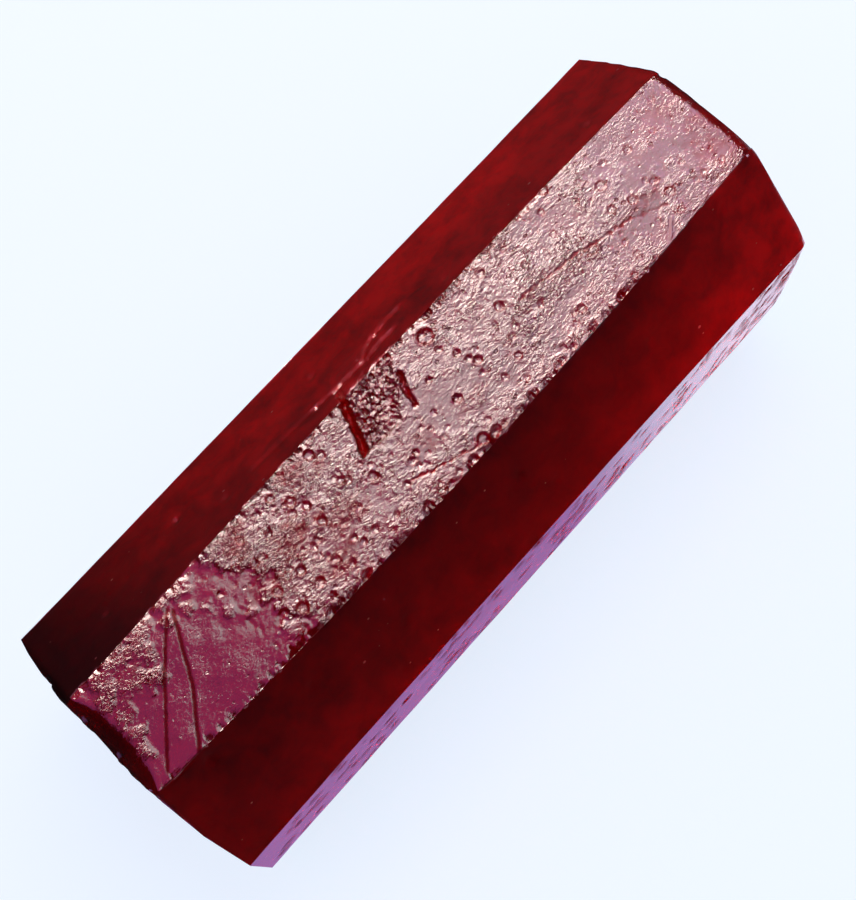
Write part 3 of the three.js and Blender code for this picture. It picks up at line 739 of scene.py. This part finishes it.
# %% Grooves along a few points, as (x, place across the face from -1 to 1)
CRACKS = [
    (TOP, 0.36, 0.03, [(16.2, -0.12), (18.7, -0.06), (23.7, 0.04), (27.2, 0.2), (30.7, 0.32), (34.2, 0.56)]),
    (TOP, 0.3, 0.09, [(-5.6, 0.55), (-1.5, 0.78), (2.4, 0.97)]),
    (TOP, 0.34, 0.01, [(-31.5, -0.8), (-36, -0.2), (-42.6, 0.8)]),
    (TOP, 0.38, 0.012, [(-31.2, -0.72), (-35.2, 0.25), (-39.2, 0.93)]),
    (TOP, 0.8, 0.25, [(1.9, -0.7), (0.9, -0.4), (0.6, -0.2)]),
    (UPPER_LEFT, 0.9, 0.22, [(5.8, 0.68), (4.2, 0.64), (1.2, 0.68), (-3, 0.64), (-6.5, 0.58)]),
    (UPPER_LEFT, 0.8, 0.2, [(8, 0.34), (3.8, 0.36), (2, 0.48), (0.5, 0.66)]),
    (LOWER_RIGHT, 0.6, 0.5, [(-24, -0.5), (-16, -0.1), (-9, 0.1)]),
    (LEFT, 0.6, 0.5, [(12, 0.6), (22, 0.1), (27, -0.5)]),
    (UPPER_LEFT, 0.8, 0.11, [(-6.5, 0.58), (-15.2, 0.46)]),
    (TOP, 0.7, -0.09, [(33.5, 0.76), (31.5, 0.97)]),
]
SCRATCH = len(CRACKS) - 1
polished = np.zeros(len(u))
for number, (side, crack_width, depth, points) in enumerate(CRACKS):
    chosen = np.nonzero((side_of == side) & off_cap)[0]
    is_straight = number in (2, 3)
    sway = 0.05 if is_straight or number == SCRATCH else 0.2
    wander_u = u[chosen] + sway * noise(u[chosen] / 0.45, v[chosen] / 0.45, 100 + number)
    wander_v = v[chosen] + sway * noise(u[chosen] / 0.45 + 9, v[chosen] / 0.45, 130 + number)
    half = MIDDLE_HALF[side == TOP]
    nearest = np.full(len(chosen), 99.0)
    for (x0, a0), (x1, a1) in zip(points, points[1:]):
        run = np.array([x1 - x0, (a1 - a0) * half])
        share = ((wander_u - x0) * run[0] + (wander_v - a0 * half) * run[1]) / (run @ run)
        share = np.clip(share, 0, 1)
        gap = np.hypot(wander_u - x0 - share * run[0], wander_v - a0 * half - share * run[1])
        nearest = np.minimum(nearest, gap)
    relief[chosen] -= depth * np.clip(1 - nearest / (crack_width / 2), 0, 1) ** 1.2
    if number == SCRATCH:
        polished[chosen] = smooth(1.4 - nearest / (crack_width / 2))
        relief[chosen] -= (grain * rough_zone * rim_fade)[chosen] * polished[chosen]
    if side == TOP and number != SCRATCH:
        broken = 1 if is_straight else 0.9 + 0.4 * noise(u[chosen] / 0.7, v[chosen] / 0.7, 170 + number)
        reach = 1.7 if is_straight else 1.35
        dull = np.clip(broken, 0, 1) * smooth(reach - nearest / (crack_width * 0.5))
        dullness[chosen] = np.maximum(dullness[chosen], dull)
    if side == UPPER_LEFT:
        dull = 0.75 * smooth(1.5 - nearest / (crack_width * 0.5))
        gloss_loss[chosen] = np.maximum(gloss_loss[chosen], dull)

print("grooves:", len(CRACKS))

# %% [markdown]
# All the relief is ready, so the points move in one go, each along the normal of its flat face. Moving
# along the flat normal keeps neighbouring points from crossing.

# %% Move the points along their faces
place[off_cap] += (face_normal * relief[:, None])[off_cap]
print("relief from", relief[off_cap].min().round(2), "to", relief[off_cap].max().round(2), "mm")

# %% [markdown]
# ## The gouge
# A wedge is broken out of the edge between the upper left and the upper face. Its floor slopes up
# towards the head, and crumbs of crystal still stand on it.

# %% Cut the gouge down to its sloping floor
GOUGE_OUTLINE = np.array([(-2.87, 10.4), (-7.3, 0.9), (-1.6, 0.6), (4.6, 8.4), (5.4, 10.4)])
GOUGE_SURFACE = ACROSS - HOLLOW


def inside_depth(x, y, outline):
    """How far inside the outline each point is; negative outside."""
    depth = np.full(np.shape(x), 99.0)
    for (x0, y0), (x1, y1) in zip(outline, np.roll(outline, -1, axis=0)):
        run = np.array([x1 - x0, y1 - y0])
        inward = np.array([-run[1], run[0]]) / np.linalg.norm(run)
        depth = np.minimum(depth, (x - x0) * inward[0] + (y - y0) * inward[1])
    return depth


near_gouge = np.isin(side_of, (TOP, UPPER_LEFT)) & off_cap
near_gouge = near_gouge & (np.abs(place[:, 0] + 1) < 9) & (place[:, 1] > -1)
gx = place[near_gouge, 0]
gy = place[near_gouge, 1]
within = inside_depth(gx, gy, GOUGE_OUTLINE) + 0.15 * noise(gx / 0.5, gy / 0.5, 150)
wall_run = GOUGE_OUTLINE[1] - GOUGE_OUTLINE[0]
wall_gap = (gy - GOUGE_OUTLINE[0, 1]) * wall_run[0] - (gx - GOUGE_OUTLINE[0, 0]) * wall_run[1]
wall_gap = wall_gap / np.hypot(*wall_run)
wall_gap = wall_gap + 0.12 * noise(gx / 0.6, gy / 0.6, 153)
plane_depth = np.maximum(0.1, -0.354 - 0.173 * gx + 0.1825 * gy)
reach, far, owner, off_x, off_y = cells(gx / 0.6, gy / 0.6, 151)
lean = (owner * 7 % 1 - 0.5) * off_x + (owner * 13 % 1 - 0.5) * off_y
crease = 1 - smooth((far - reach) / 0.22)
crumb_depth = 0.08 + 0.33 * owner * np.clip(plane_depth, 0.3, 1) + 0.2 * lean + 0.12 * crease
crumb_depth = crumb_depth + 0.02 * noise(gx / 0.25, gy / 0.25, 152)
trench = 1 - smooth((wall_gap - 0.6) / 0.4)
floor_depth = crumb_depth + (np.minimum(plane_depth * 1.1, 1.4) - crumb_depth) * trench
floor_z = GOUGE_SURFACE - floor_depth * smooth(within / 0.4)
is_cut = within > 0
lowered = np.minimum(place[near_gouge, 2], floor_z)
place[near_gouge, 2] = np.where(is_cut, lowered, place[near_gouge, 2])
gouge_dull = np.maximum(trench * smooth(within / 0.3), crease * 0.6 * (plane_depth > 0.15))
dullness[near_gouge] = np.maximum(dullness[near_gouge], np.where(is_cut, gouge_dull, 0))
print("gouge:", is_cut.sum(), "points")

# %% [markdown]
# ## Skin of the broken ends
# A break through a brittle crystal is covered with small shell-shaped steps. Scattered cells give each
# step its own tilt, and noise roughens it.

# %% Rough skin on the broken ends
for end in (HEAD, FOOT):
    chosen = is_cap & (place[:, 0] * end["side"] > 0)
    cy = place[chosen, 1]
    cz = place[chosen, 2]
    reach, far, owner, _, _ = cells(cy / 2.6, cz / 2.6, 160 + end["seed"])
    ledges = (owner - 0.5) * 0.35 * smooth((far - reach) / 0.25) + 0.12 * noise(cy / 0.9, cz / 0.9, 161)
    fade = smooth((1 - reach_of[chosen]) / 0.12)
    place[chosen, 0] += end["side"] * (ledges - 0.1) * fade

# %% [markdown]
# At the head the upper face rounds off into the break. The wear is lowest at the very edge and deeper at
# the two corners, and the neighbouring faces go down with it, so no step is left between them.

# %% Wear the upper face's edge down at the head
top_points = np.nonzero(on_top)[0]
lane = np.rint(column[top_points]).astype(int)
end_x = np.full(COLUMNS[TOP] + 1, -99.0)
np.maximum.at(end_x, lane, place[top_points, 0])
to_end = end_x[lane] - place[top_points, 0]
to_side = width[top_points] / 2 - np.abs(v[top_points])
at_corner = np.clip(1 - to_side / 2.5, 0, 1) ** 2
worn_span = 1.4 + 0.3 * noise(place[top_points, 1] / 1.1, lane * 0.0, 190) + 0.8 * at_corner
worn = (0.42 + 0.3 * at_corner) * np.clip(1 - to_end / worn_span, 0, 1) ** 1.7
place[top_points, 2] -= worn
for side, lane_here in ((UPPER_LEFT, 0), (UPPER_RIGHT, COLUMNS[TOP])):
    line = top_points[lane == lane_here]
    line = line[np.argsort(u[line])]
    line_worn = worn[lane == lane_here][np.argsort(u[top_points[lane == lane_here]])]
    beside = np.nonzero((side_of == side) & off_cap)[0]
    from_top = np.abs(place[beside, 1] - place[line[-1], 1])
    lowered = np.interp(u[beside], u[line], line_worn) * smooth(1 - from_top / 1.8)
    place[beside, 2] -= lowered

print("worn down by up to", worn.max().round(2), "mm")

# %% [markdown]
# ## Into the mesh
# The crystal rests on its bottom face, so nothing may reach below the floor. Then all the points go
# into the mesh at once, which is much faster than moving them one by one.

# %% Keep the resting face flat, and write the points into the mesh
place[:, 2] = np.maximum(place[:, 2], 0)
place[:, 0] += BOX_SHIFT
crystal.data.vertices.foreach_set("co", (place * MM).ravel())
crystal.data.update()
print("crystal in mm:", place.min(axis=0).round(2), place.max(axis=0).round(2))

# %% [markdown]
# ## What the material needs to know
# The finish changes from place to place. Three values on every point carry that to the material: one is
# the depth of the red, which also holds painted light and shade on some faces, skin_grain is the strength
# of the finest grain, and skin_gloss how much of the clear polish is left. Stored on the points, they can
# follow the very craters made above.

# %% Depth of the red, with painted light and shade
along_tone = np.interp(place[:, 0], [-44, -32, -20, 5, 25, 35, 45], [0.25, 0.27, 0.27, 0.29, 0.36, 0.46, 0.8])
# Painted light and shade on whole faces: the upper left face is painted much lighter than the others, as if
# lit more, and the upper face darker, to even out the stronger light that the panel puts on it.
face_red_and_shading = np.choose(side_of, [0.52, 1.9, 1.5, 1.2, 1.2, 1.2, 1.2, 1.25])
# Painted shadow: along the upper left face the red goes nearly black towards the foot. The rest of this curve
# is painted light, lightest near the middle.
left_light_and_shadow = np.interp(place[:, 0], [-42, -36, -25, -10, 5, 25, 45], [0.03, 0.25, 1.05, 1.45, 1.4, 1.15, 1.3])
right_share = np.interp(place[:, 0], [-44, -20, 5, 25, 35, 45], [0.85, 0.7, 0.48, 0.58, 0.85, 1.7])
face_red_and_shading = np.where(side_of == UPPER_LEFT, face_red_and_shading * left_light_and_shadow, face_red_and_shading)
face_red_and_shading = np.where(side_of == UPPER_RIGHT, face_red_and_shading * right_share, face_red_and_shading)
top_share = np.interp(place[:, 0], [-30, -22, -8, 5], [1, 1.8, 1.4, 1])
face_red_and_shading = np.where(side_of == TOP, face_red_and_shading * top_share, face_red_and_shading)
face_red_and_shading = np.where(is_cap, 1.0, face_red_and_shading)
groove_tone = np.interp(u, [-24, -12, 12, 16], [-0.65, 3.5, 3.5, 0.8])
# The depth of the red, with the painted light and shade of the faces multiplied in.
skin_red_and_shading = along_tone * face_red_and_shading * (1 + groove_tone * dullness ** 2)
print("tone:", skin_red_and_shading.min().round(2), skin_red_and_shading.max().round(2))

# %% Strength of the grain, and gloss
skin_grain = np.where(on_top, np.maximum(rough_zone * (1 - 0.5 * calm) * strength, 0.13), 0.05)
skin_grain = np.where(is_cap, 0.5, skin_grain)
patches = np.clip(0.5 + 1.1 * noise(u / 2.4, y_top / 1.7, 180) + 0.6 * noise(u / 0.9, y_top / 0.7, 181), 0, 1)
skin_grain = np.where(on_top, skin_grain * (0.6 + 0.7 * patches), skin_grain)
cut_points = np.nonzero(near_gouge)[0][is_cut]
stain[cut_points] = 0.35
skin_grain[cut_points] = np.where(on_top[cut_points], 0.9, 0.25)
skin_grain = skin_grain * (1 - 0.7 * dullness) * (1 - 0.9 * polished)
skin_red_and_shading = np.minimum(skin_red_and_shading, np.where(side_of == TOP, 0.9, 0.85))
skin_red_and_shading = skin_red_and_shading * (1 + 0.6 * stain + 1.1 * np.where(on_top, gloss_loss, 0))
stain_loss = stain * (0.75 - 0.5 * noise(u / 0.4, v / 0.3, 183))
skin_gloss = 1 - np.maximum.reduce([0.92 * dullness, gloss_loss, stain_loss])
for name, values in (("skin_grain", skin_grain), ("skin_red_and_shading", skin_red_and_shading), ("skin_gloss", skin_gloss)):
    stored = crystal.data.attributes.new(name, "FLOAT", "POINT")
    stored.data.foreach_set("value", values.astype(np.float32))
print("stored on the points: skin_grain, skin_red_and_shading, skin_gloss")

# %% Merge the few points that met in one spot, and shade
SAME_SPOT = 1e-6
SHARP_FROM = math.radians(40)
bpy.ops.object.select_all(action="DESELECT")
crystal.select_set(True)
bpy.context.view_layer.objects.active = crystal
bpy.ops.object.mode_set(mode="EDIT")
bpy.ops.mesh.select_mode(type="VERT")
bpy.ops.mesh.select_all(action="SELECT")
bpy.ops.mesh.remove_doubles(threshold=SAME_SPOT)
bpy.ops.object.mode_set(mode="OBJECT")
bpy.ops.object.shade_smooth_by_angle(angle=SHARP_FROM)
print("points after merging:", len(crystal.data.vertices))

# %% [markdown]
# ## Red beryl as a material
# Real red beryl is glass-like: a refractive index of about 1.57, clear in a thin sliver, nearly opaque
# when it is thick, because manganese swallows green and blue. One Principled shader with high
# transmission gives the glass. A little red is kept in its base colour, which stands for the light that
# cracks and fluid veils inside throw back. A clear coat on top stands for the polished natural skin: its
# reflection stays white, while the tinted reflection underneath keeps shadows red instead of grey.

# %% The shader's plain values
REFRACTIVE_INDEX = 1.57
TRANSMISSION = 0.9
ABSORPTION_COLOUR = (0.97, 0.0, 0.02, 1)
ABSORPTION_DENSITY = 500


def add_node(tree, kind, inputs=None):
    """Adds a node. Its inputs take plain values, or the outputs of other nodes."""
    node = tree.nodes.new("ShaderNode" + kind)
    for name, value in (inputs or {}).items():
        if isinstance(value, bpy.types.NodeSocket):
            tree.links.new(value, node.inputs[name])
        else:
            node.inputs[name].default_value = value
    return node


skin = bpy.data.materials.new("red_beryl_crystal")
skin.use_nodes = True
nodes = skin.node_tree.nodes
links = skin.node_tree.links
shader = nodes["Principled BSDF"]
shader.inputs["Base Color"].default_value = (0.62, 0.0, 0.012, 1)
shader.inputs["Roughness"].default_value = 0.35
shader.inputs["Specular Tint"].default_value = (0.45, 0.0, 0.01, 1)
shader.inputs["IOR"].default_value = REFRACTIVE_INDEX
shader.inputs["Transmission Weight"].default_value = TRANSMISSION
shader.inputs["Coat Roughness"].default_value = 0.05
shader.inputs["Coat IOR"].default_value = REFRACTIVE_INDEX
absorb = nodes.new("ShaderNodeVolumeAbsorption")
absorb.inputs["Color"].default_value = ABSORPTION_COLOUR
absorb.inputs["Density"].default_value = ABSORPTION_DENSITY
links.new(absorb.outputs["Volume"], nodes["Material Output"].inputs["Volume"])
coords = nodes.new("ShaderNodeTexCoord")
print("transmission", TRANSMISSION, "and refractive index", REFRACTIVE_INDEX)

# %% [markdown]
# Textures can be wired up node by node. Small helpers do it in one line each, so the recipe stays
# readable. All of them look up Object coordinates, so a pattern sits still on the crystal.

# %% Helpers for textures and sums
def on_crystal(stretch):
    """Object coordinates, stretched, for a texture to read."""
    place_in = {"Vector": coords.outputs["Object"], "Scale": stretch}
    return add_node(skin.node_tree, "Mapping", place_in).outputs["Vector"]


def noise_node(scale, detail, roughness, distortion, stretch=(1, 1, 1)):
    look = {"Vector": on_crystal(stretch), "Scale": scale, "Detail": detail,
            "Roughness": roughness, "Distortion": distortion}
    return add_node(skin.node_tree, "TexNoise", look).outputs["Fac"]


def math_node(operation, first, second=0.0, third=0.0, clamp=False):
    node = nodes.new("ShaderNodeMath")
    node.operation = operation
    node.use_clamp = clamp
    for socket, value in zip(node.inputs, (first, second, third)):
        if isinstance(value, (int, float)):
            socket.default_value = value
        else:
            links.new(value, socket)
    return node.outputs[0]


def painted(name):
    """The value stored on the crystal's points under this name."""
    attribute = nodes.new("ShaderNodeAttribute")
    attribute.attribute_name = name
    return attribute.outputs["Fac"]


def product(first, second, clamp=False):
    return math_node("MULTIPLY", first, second, clamp=clamp)


def difference(first, second, clamp=False):
    return math_node("SUBTRACT", first, second, clamp=clamp)


print("helpers: on_crystal, noise_node, math_node, painted, product, difference")

# %% [markdown]
# ## Cloudy red
# The red gets lighter towards the head, and soft clouds hang in it. The change along the crystal comes
# from the value stored on the points, the clouds from a soft noise with patches about 3 mm wide. The
# stored value also holds painted light and shade: the upper left face is painted lighter, as if lit
# more, and nearly black at its foot as a painted shadow, and the upper face is painted darker.

# %% Depth of the red, with painted light and shade
CLOUD_SCALE = 330
CLOUD_GAIN = 2.6
cloud = noise_node(CLOUD_SCALE, 4.0, 0.65, 0.3)
cloud_gain = math_node("MULTIPLY_ADD", cloud, CLOUD_GAIN, -0.3)
# The stored value brings the painted light and shade of the faces into the red.
red_with_shading = product(painted("skin_red_and_shading"), cloud_gain)
tone = add_node(skin.node_tree, "CombineColor", {"Red": red_with_shading, "Green": 0.0, "Blue": 0.003})
print("clouds about", round(1000 / CLOUD_SCALE, 1), "mm apart")

# %% [markdown]
# ## Painted glints on the smooth faces
# Dust-sized chips on the smooth faces catch the light, and their glints are painted into the base colour
# as pale dots. A cell texture scatters them: each cell draws a random number, and only the luckiest cells
# get a dot, sized by that same number.

# %% Specks: chip glints painted as pale dots
SPECK_SCALE = 1300
LUCKY_SHARE = 0.07
speck_place = {"Vector": on_crystal((0.7, 1, 1)), "Scale": SPECK_SCALE}
cells_texture = add_node(skin.node_tree, "TexVoronoi", speck_place)
from_middle = cells_texture.outputs["Distance"]
luck = add_node(skin.node_tree, "SeparateColor", {"Color": cells_texture.outputs["Color"]})
grain_amount = painted("skin_grain")
speck_size = product(difference(luck.outputs["Red"], 1 - LUCKY_SHARE, clamp=True), 3.2)
speck = product(difference(speck_size, from_middle), 12.0, clamp=True)
speck = product(speck, math_node("LESS_THAN", grain_amount, 0.07))
base_with_glints = nodes.new("ShaderNodeMix")
base_with_glints.data_type = "RGBA"
links.new(speck, base_with_glints.inputs["Factor"])
links.new(tone.outputs["Color"], base_with_glints.inputs["A"])
# Painted glint: the dot's pale pink stands in for light caught by a chip.
base_with_glints.inputs["B"].default_value = (1.0, 0.1, 0.17, 1)
links.new(base_with_glints.outputs["Result"], shader.inputs["Base Color"])
print("speck cells", round(1000 / SPECK_SCALE, 2), "mm wide, about 1 in 14 with a speck")

# %% [markdown]
# ## The finest grain
# Grain below a fifth of a millimetre is too fine for the mesh, so it is bump: a stretched noise for the
# etched texture, and tiny holes from the same cells as the specks. Both fade out by the amount stored
# on the points. The coat and the glass underneath get the same bump, so their gloss breaks up together.

# %% Grain and pinholes as bump
BUMP_DEPTH = 0.00016
grain_noise = noise_node(3500, 2.0, 0.55, 0.9, (0.5, 1, 1))
hole_size = product(difference(luck.outputs["Green"], 0.25, clamp=True), 0.36)
hole = product(difference(hole_size, from_middle), 9.0, clamp=True)
hole_share = product(grain_amount, 2.0, clamp=True)
hole_height = product(product(hole, hole_share), -0.45)
height = math_node("ADD", product(grain_noise, grain_amount), hole_height)
bump = add_node(skin.node_tree, "Bump", {"Distance": BUMP_DEPTH, "Height": height})
links.new(bump.outputs["Normal"], shader.inputs["Coat Normal"])
links.new(bump.outputs["Normal"], shader.inputs["Normal"])
print("bump reaches", BUMP_DEPTH / MM, "mm deep")

# %% [markdown]
# ## Gloss that comes and goes
# Crater walls, cracks and etched patches have lost their polish, so the red shows there. The value on
# the points lowers the coat, and a thin ring round each pinhole lowers it once more.

# %% Where the coat shines
RING_WIDTH = 0.07
ring_gap = math_node("ABSOLUTE", difference(hole_size, from_middle))
ring = product(difference(RING_WIDTH, ring_gap, clamp=True), 12.0, clamp=True)
has_ring = math_node("GREATER_THAN", hole_size, 0.06)
ring = product(product(ring, hole_share), has_ring)
kept_gloss = difference(1.0, product(ring, 0.8))
links.new(product(painted("skin_gloss"), kept_gloss), shader.inputs["Coat Weight"])
crystal.data.materials.append(skin)
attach(crystal, "root")
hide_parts("beryl_crystal")
print("material on", crystal.name, "with", len(nodes), "nodes")

# %% [markdown]
# ## The studio
# A glossy crystal shows its surroundings, so they are part of the look. The floor is plain and pale,
# and it glows a little, which keeps the shadow soft. In reflections only, it shows a lilac strip beside
# the crystal, so the lowest face that can be seen takes a lilac sheen.

# %% Helpers for the studio
def colour_ramp(tree, value, stops):
    """Turns a value from 0 to 1 into the colours of the stops."""
    ramp = tree.nodes.new("ShaderNodeValToRGB")
    elements = ramp.color_ramp.elements
    while len(elements) < len(stops):
        elements.new(0.5)
    for element, (position, colour) in zip(elements, stops):
        element.position = position
        element.color = (*colour, 1)
    tree.links.new(value, ramp.inputs["Fac"])
    return ramp.outputs["Color"]


def place_share(tree, axis, start, stop, smooth_ends=False):
    """0 at start, 1 at stop, along one axis of the room, in metres."""
    geometry = tree.nodes.new("ShaderNodeNewGeometry")
    split = add_node(tree, "SeparateXYZ", {"Vector": geometry.outputs["Position"]})
    reach = {"Value": split.outputs[axis], "From Min": start, "From Max": stop}
    share = add_node(tree, "MapRange", reach)
    share.interpolation_type = "SMOOTHSTEP" if smooth_ends else "LINEAR"
    return share.outputs["Result"]


def split_for_reflections(tree, plain, mirrored, output):
    """Sends plain to the output, and mirrored instead of it to rays that leave a glossy surface."""
    ray = tree.nodes.new("ShaderNodeLightPath")
    either = tree.nodes.new("ShaderNodeMixShader")
    tree.links.new(ray.outputs["Is Glossy Ray"], either.inputs[0])
    tree.links.new(plain.outputs[0], either.inputs[1])
    tree.links.new(mirrored.outputs[0], either.inputs[2])
    tree.links.new(either.outputs[0], tree.nodes[output].inputs["Surface"])


print("helpers: colour_ramp, place_share, split_for_reflections")

# %% [markdown]
# The floor could be lit by lamps alone. A glow of its own is steadier: the tone is even everywhere,
# and only the contact shadow is left for the lights to make.

# %% Floor
STRIP_COLOURS = [(0.0, (0.48, 0.22, 0.6)), (0.62, (0.44, 0.24, 0.62)), (0.84, (0.8, 0.78, 1.12)),
                 (1.0, (1.1, 1.0, 1.3))]
bpy.ops.object.select_all(action="DESELECT")
bpy.ops.mesh.primitive_plane_add(size=4, location=(0, 0, 0))
floor = bpy.context.object
floor.name = "floor"
pale = bpy.data.materials.new("floor_pale")
pale.use_nodes = True
tree = pale.node_tree
floor_shader = tree.nodes["Principled BSDF"]
floor_shader.inputs["Base Color"].default_value = (0.15, 0.15, 0.145, 1)
floor_shader.inputs["Roughness"].default_value = 0.9
floor_shader.inputs["Specular IOR Level"].default_value = 0.1
glow = add_node(tree, "Emission", {"Color": (0.67, 0.76, 0.88, 1)})
seen = tree.nodes.new("ShaderNodeAddShader")
tree.links.new(floor_shader.outputs[0], seen.inputs[0])
tree.links.new(glow.outputs[0], seen.inputs[1])
strip_colour = colour_ramp(tree, place_share(tree, "X", -0.04, 0.04), STRIP_COLOURS)
strip = add_node(tree, "Emission", {"Color": strip_colour})
strip_side = tree.nodes.new("ShaderNodeMath")
strip_side.operation = "MULTIPLY"
tree.links.new(place_share(tree, "Y", -0.07, -0.045, True), strip_side.inputs[0])
tree.links.new(place_share(tree, "Y", 0.0, -0.01), strip_side.inputs[1])
tree.links.new(strip_side.outputs[0], strip.inputs["Strength"])
split_for_reflections(tree, seen, strip, "Material Output")
floor.data.materials.append(pale)
print("floor", tuple(round(side, 2) for side in floor.dimensions))

# %% [markdown]
# An evenly white world lights the crystal from all round. In reflections it is nearly black, so the
# side faces stay deep red instead of turning milky.

# %% World
WORLD_COLOUR = (0.93, 1, 1, 1)
MIRRORED_WORLD = 0.005
world = bpy.data.worlds.new("studio")
bpy.context.scene.world = world
world.use_nodes = True
tree = world.node_tree
back = tree.nodes["Background"]
back.inputs["Color"].default_value = WORLD_COLOUR
back.inputs["Strength"].default_value = 1.0
dark = add_node(tree, "Background", {"Color": (0.9, 0.5, 0.8, 1), "Strength": MIRRORED_WORLD})
split_for_reflections(tree, back, dark, "World Output")
print("world colour", WORLD_COLOUR[:3])

# %% [markdown]
# ## Soft lights
# The upper face mirrors a wide panel overhead. The panel is bright over the head and a dim purple
# over the foot, so the rough part of the face glitters and the smooth part stays purple. A window at
# one side picks out the grain. The fills are weak and only round off the side faces. This is not plain
# light: the purple belongs to the panel, not to the stone, so it is there only where the panel mirrors.

# %% Light panels
PANEL_COLOURS = [(0.0, (1.3, 0.25, 1.0)), (0.2, (2.3, 0.3, 1.15)), (0.33, (2.4, 0.3, 1.1)),
                 (0.39, (5.0, 5.0, 5.2)), (0.60, (4.9, 4.7, 5.1)), (0.72, (6.0, 4.8, 6.6)),
                 (1.0, (6.2, 5.0, 7.0))]


def light_plane(name, location, size, turn=(0, 0, 0), colour=(1, 1, 1), strength=1.0):
    bpy.ops.object.select_all(action="DESELECT")
    bpy.ops.mesh.primitive_plane_add(size=1, location=location, rotation=turn)
    plane = bpy.context.object
    plane.name = name
    plane.scale = (size[0], size[1], 1)
    plane.visible_camera = False
    material = bpy.data.materials.new(name)
    material.use_nodes = True
    tree = material.node_tree
    glow = add_node(tree, "Emission", {"Color": (*colour, 1), "Strength": strength})
    tree.links.new(glow.outputs[0], tree.nodes["Material Output"].inputs["Surface"])
    plane.data.materials.append(material)
    return plane, tree, glow


def aimed(azimuth, elevation):
    """A direction from the crystal, azimuth from +X towards +Y, and a turn that faces back along it."""
    a = math.radians(azimuth)
    e = math.radians(elevation)
    way = Vector((math.cos(a) * math.cos(e), math.sin(a) * math.cos(e), math.sin(e)))
    return way, way.to_track_quat("Z", "Y").to_euler()


_, tree, glow = light_plane("overhead_panel", (0.15, 0.15, 0.6), (0.8, 0.34))
tree.links.new(colour_ramp(tree, place_share(tree, "X", -0.25, 0.55), PANEL_COLOURS), glow.inputs["Color"])
window = light_plane("window", (0.33, 0.71, 0.6), (0.62, 0.76), colour=(1, 0.97, 0.88), strength=30)[0]
lilac_fill = light_plane("lilac_fill", (0.42, -0.62, 0.6), (0.5, 0.34), colour=(0.86, 0.72, 1), strength=9)[0]
for light in (window, lilac_fill):
    light.visible_diffuse = False
    light.visible_transmission = False
    light.visible_volume_scatter = False
way, turn = aimed(-85, 50)
light_plane("right_fill", way * 0.7, (0.5, 0.16), turn, (1.0, 0.6, 0.75), 1.4)
way, turn = aimed(85, 20)
light_plane("left_fill", way * 0.7, (0.5, 0.2), turn, (0.9, 0.3, 0.55), 1.5)

# %% [markdown]
# ## The camera
# It looks almost straight down. It leans a little towards the foot and the right side, and is rolled so
# that the crystal runs from the lower left to the upper right.

# %% Camera
TARGET = Vector((0.9597 + BOX_SHIFT, 0.3960, 16.5))
DISTANCE = 178.818
LEAN_X = math.radians(-10.942)
LEAN_Y = math.radians(-12.951)
ROLL = math.radians(-49.639)
backward = Vector((math.tan(LEAN_X), math.tan(LEAN_Y), 1)).normalized()
sideways = Vector((0, 1, 0)).cross(backward).normalized()
upward = backward.cross(sideways)
right_axis = sideways * math.cos(ROLL) + upward * math.sin(ROLL)
up_axis = upward * math.cos(ROLL) - sideways * math.sin(ROLL)
lens = bpy.data.cameras.new("camera")
lens.lens = 64
lens.sensor_width = 36
lens.clip_start = 0.01
camera = bpy.data.objects.new("camera", lens)
bpy.context.scene.collection.objects.link(camera)
spot = (TARGET + backward * DISTANCE) * MM
camera.matrix_world = Matrix([(*row, offset) for row, offset in zip(zip(right_axis, up_axis, backward), spot)]
                             + [(0, 0, 0, 1)])
bpy.context.scene.camera = camera
bpy.context.scene.view_settings.view_transform = "Standard"
print("camera at", [round(value / MM, 2) for value in camera.matrix_world.translation], "mm")
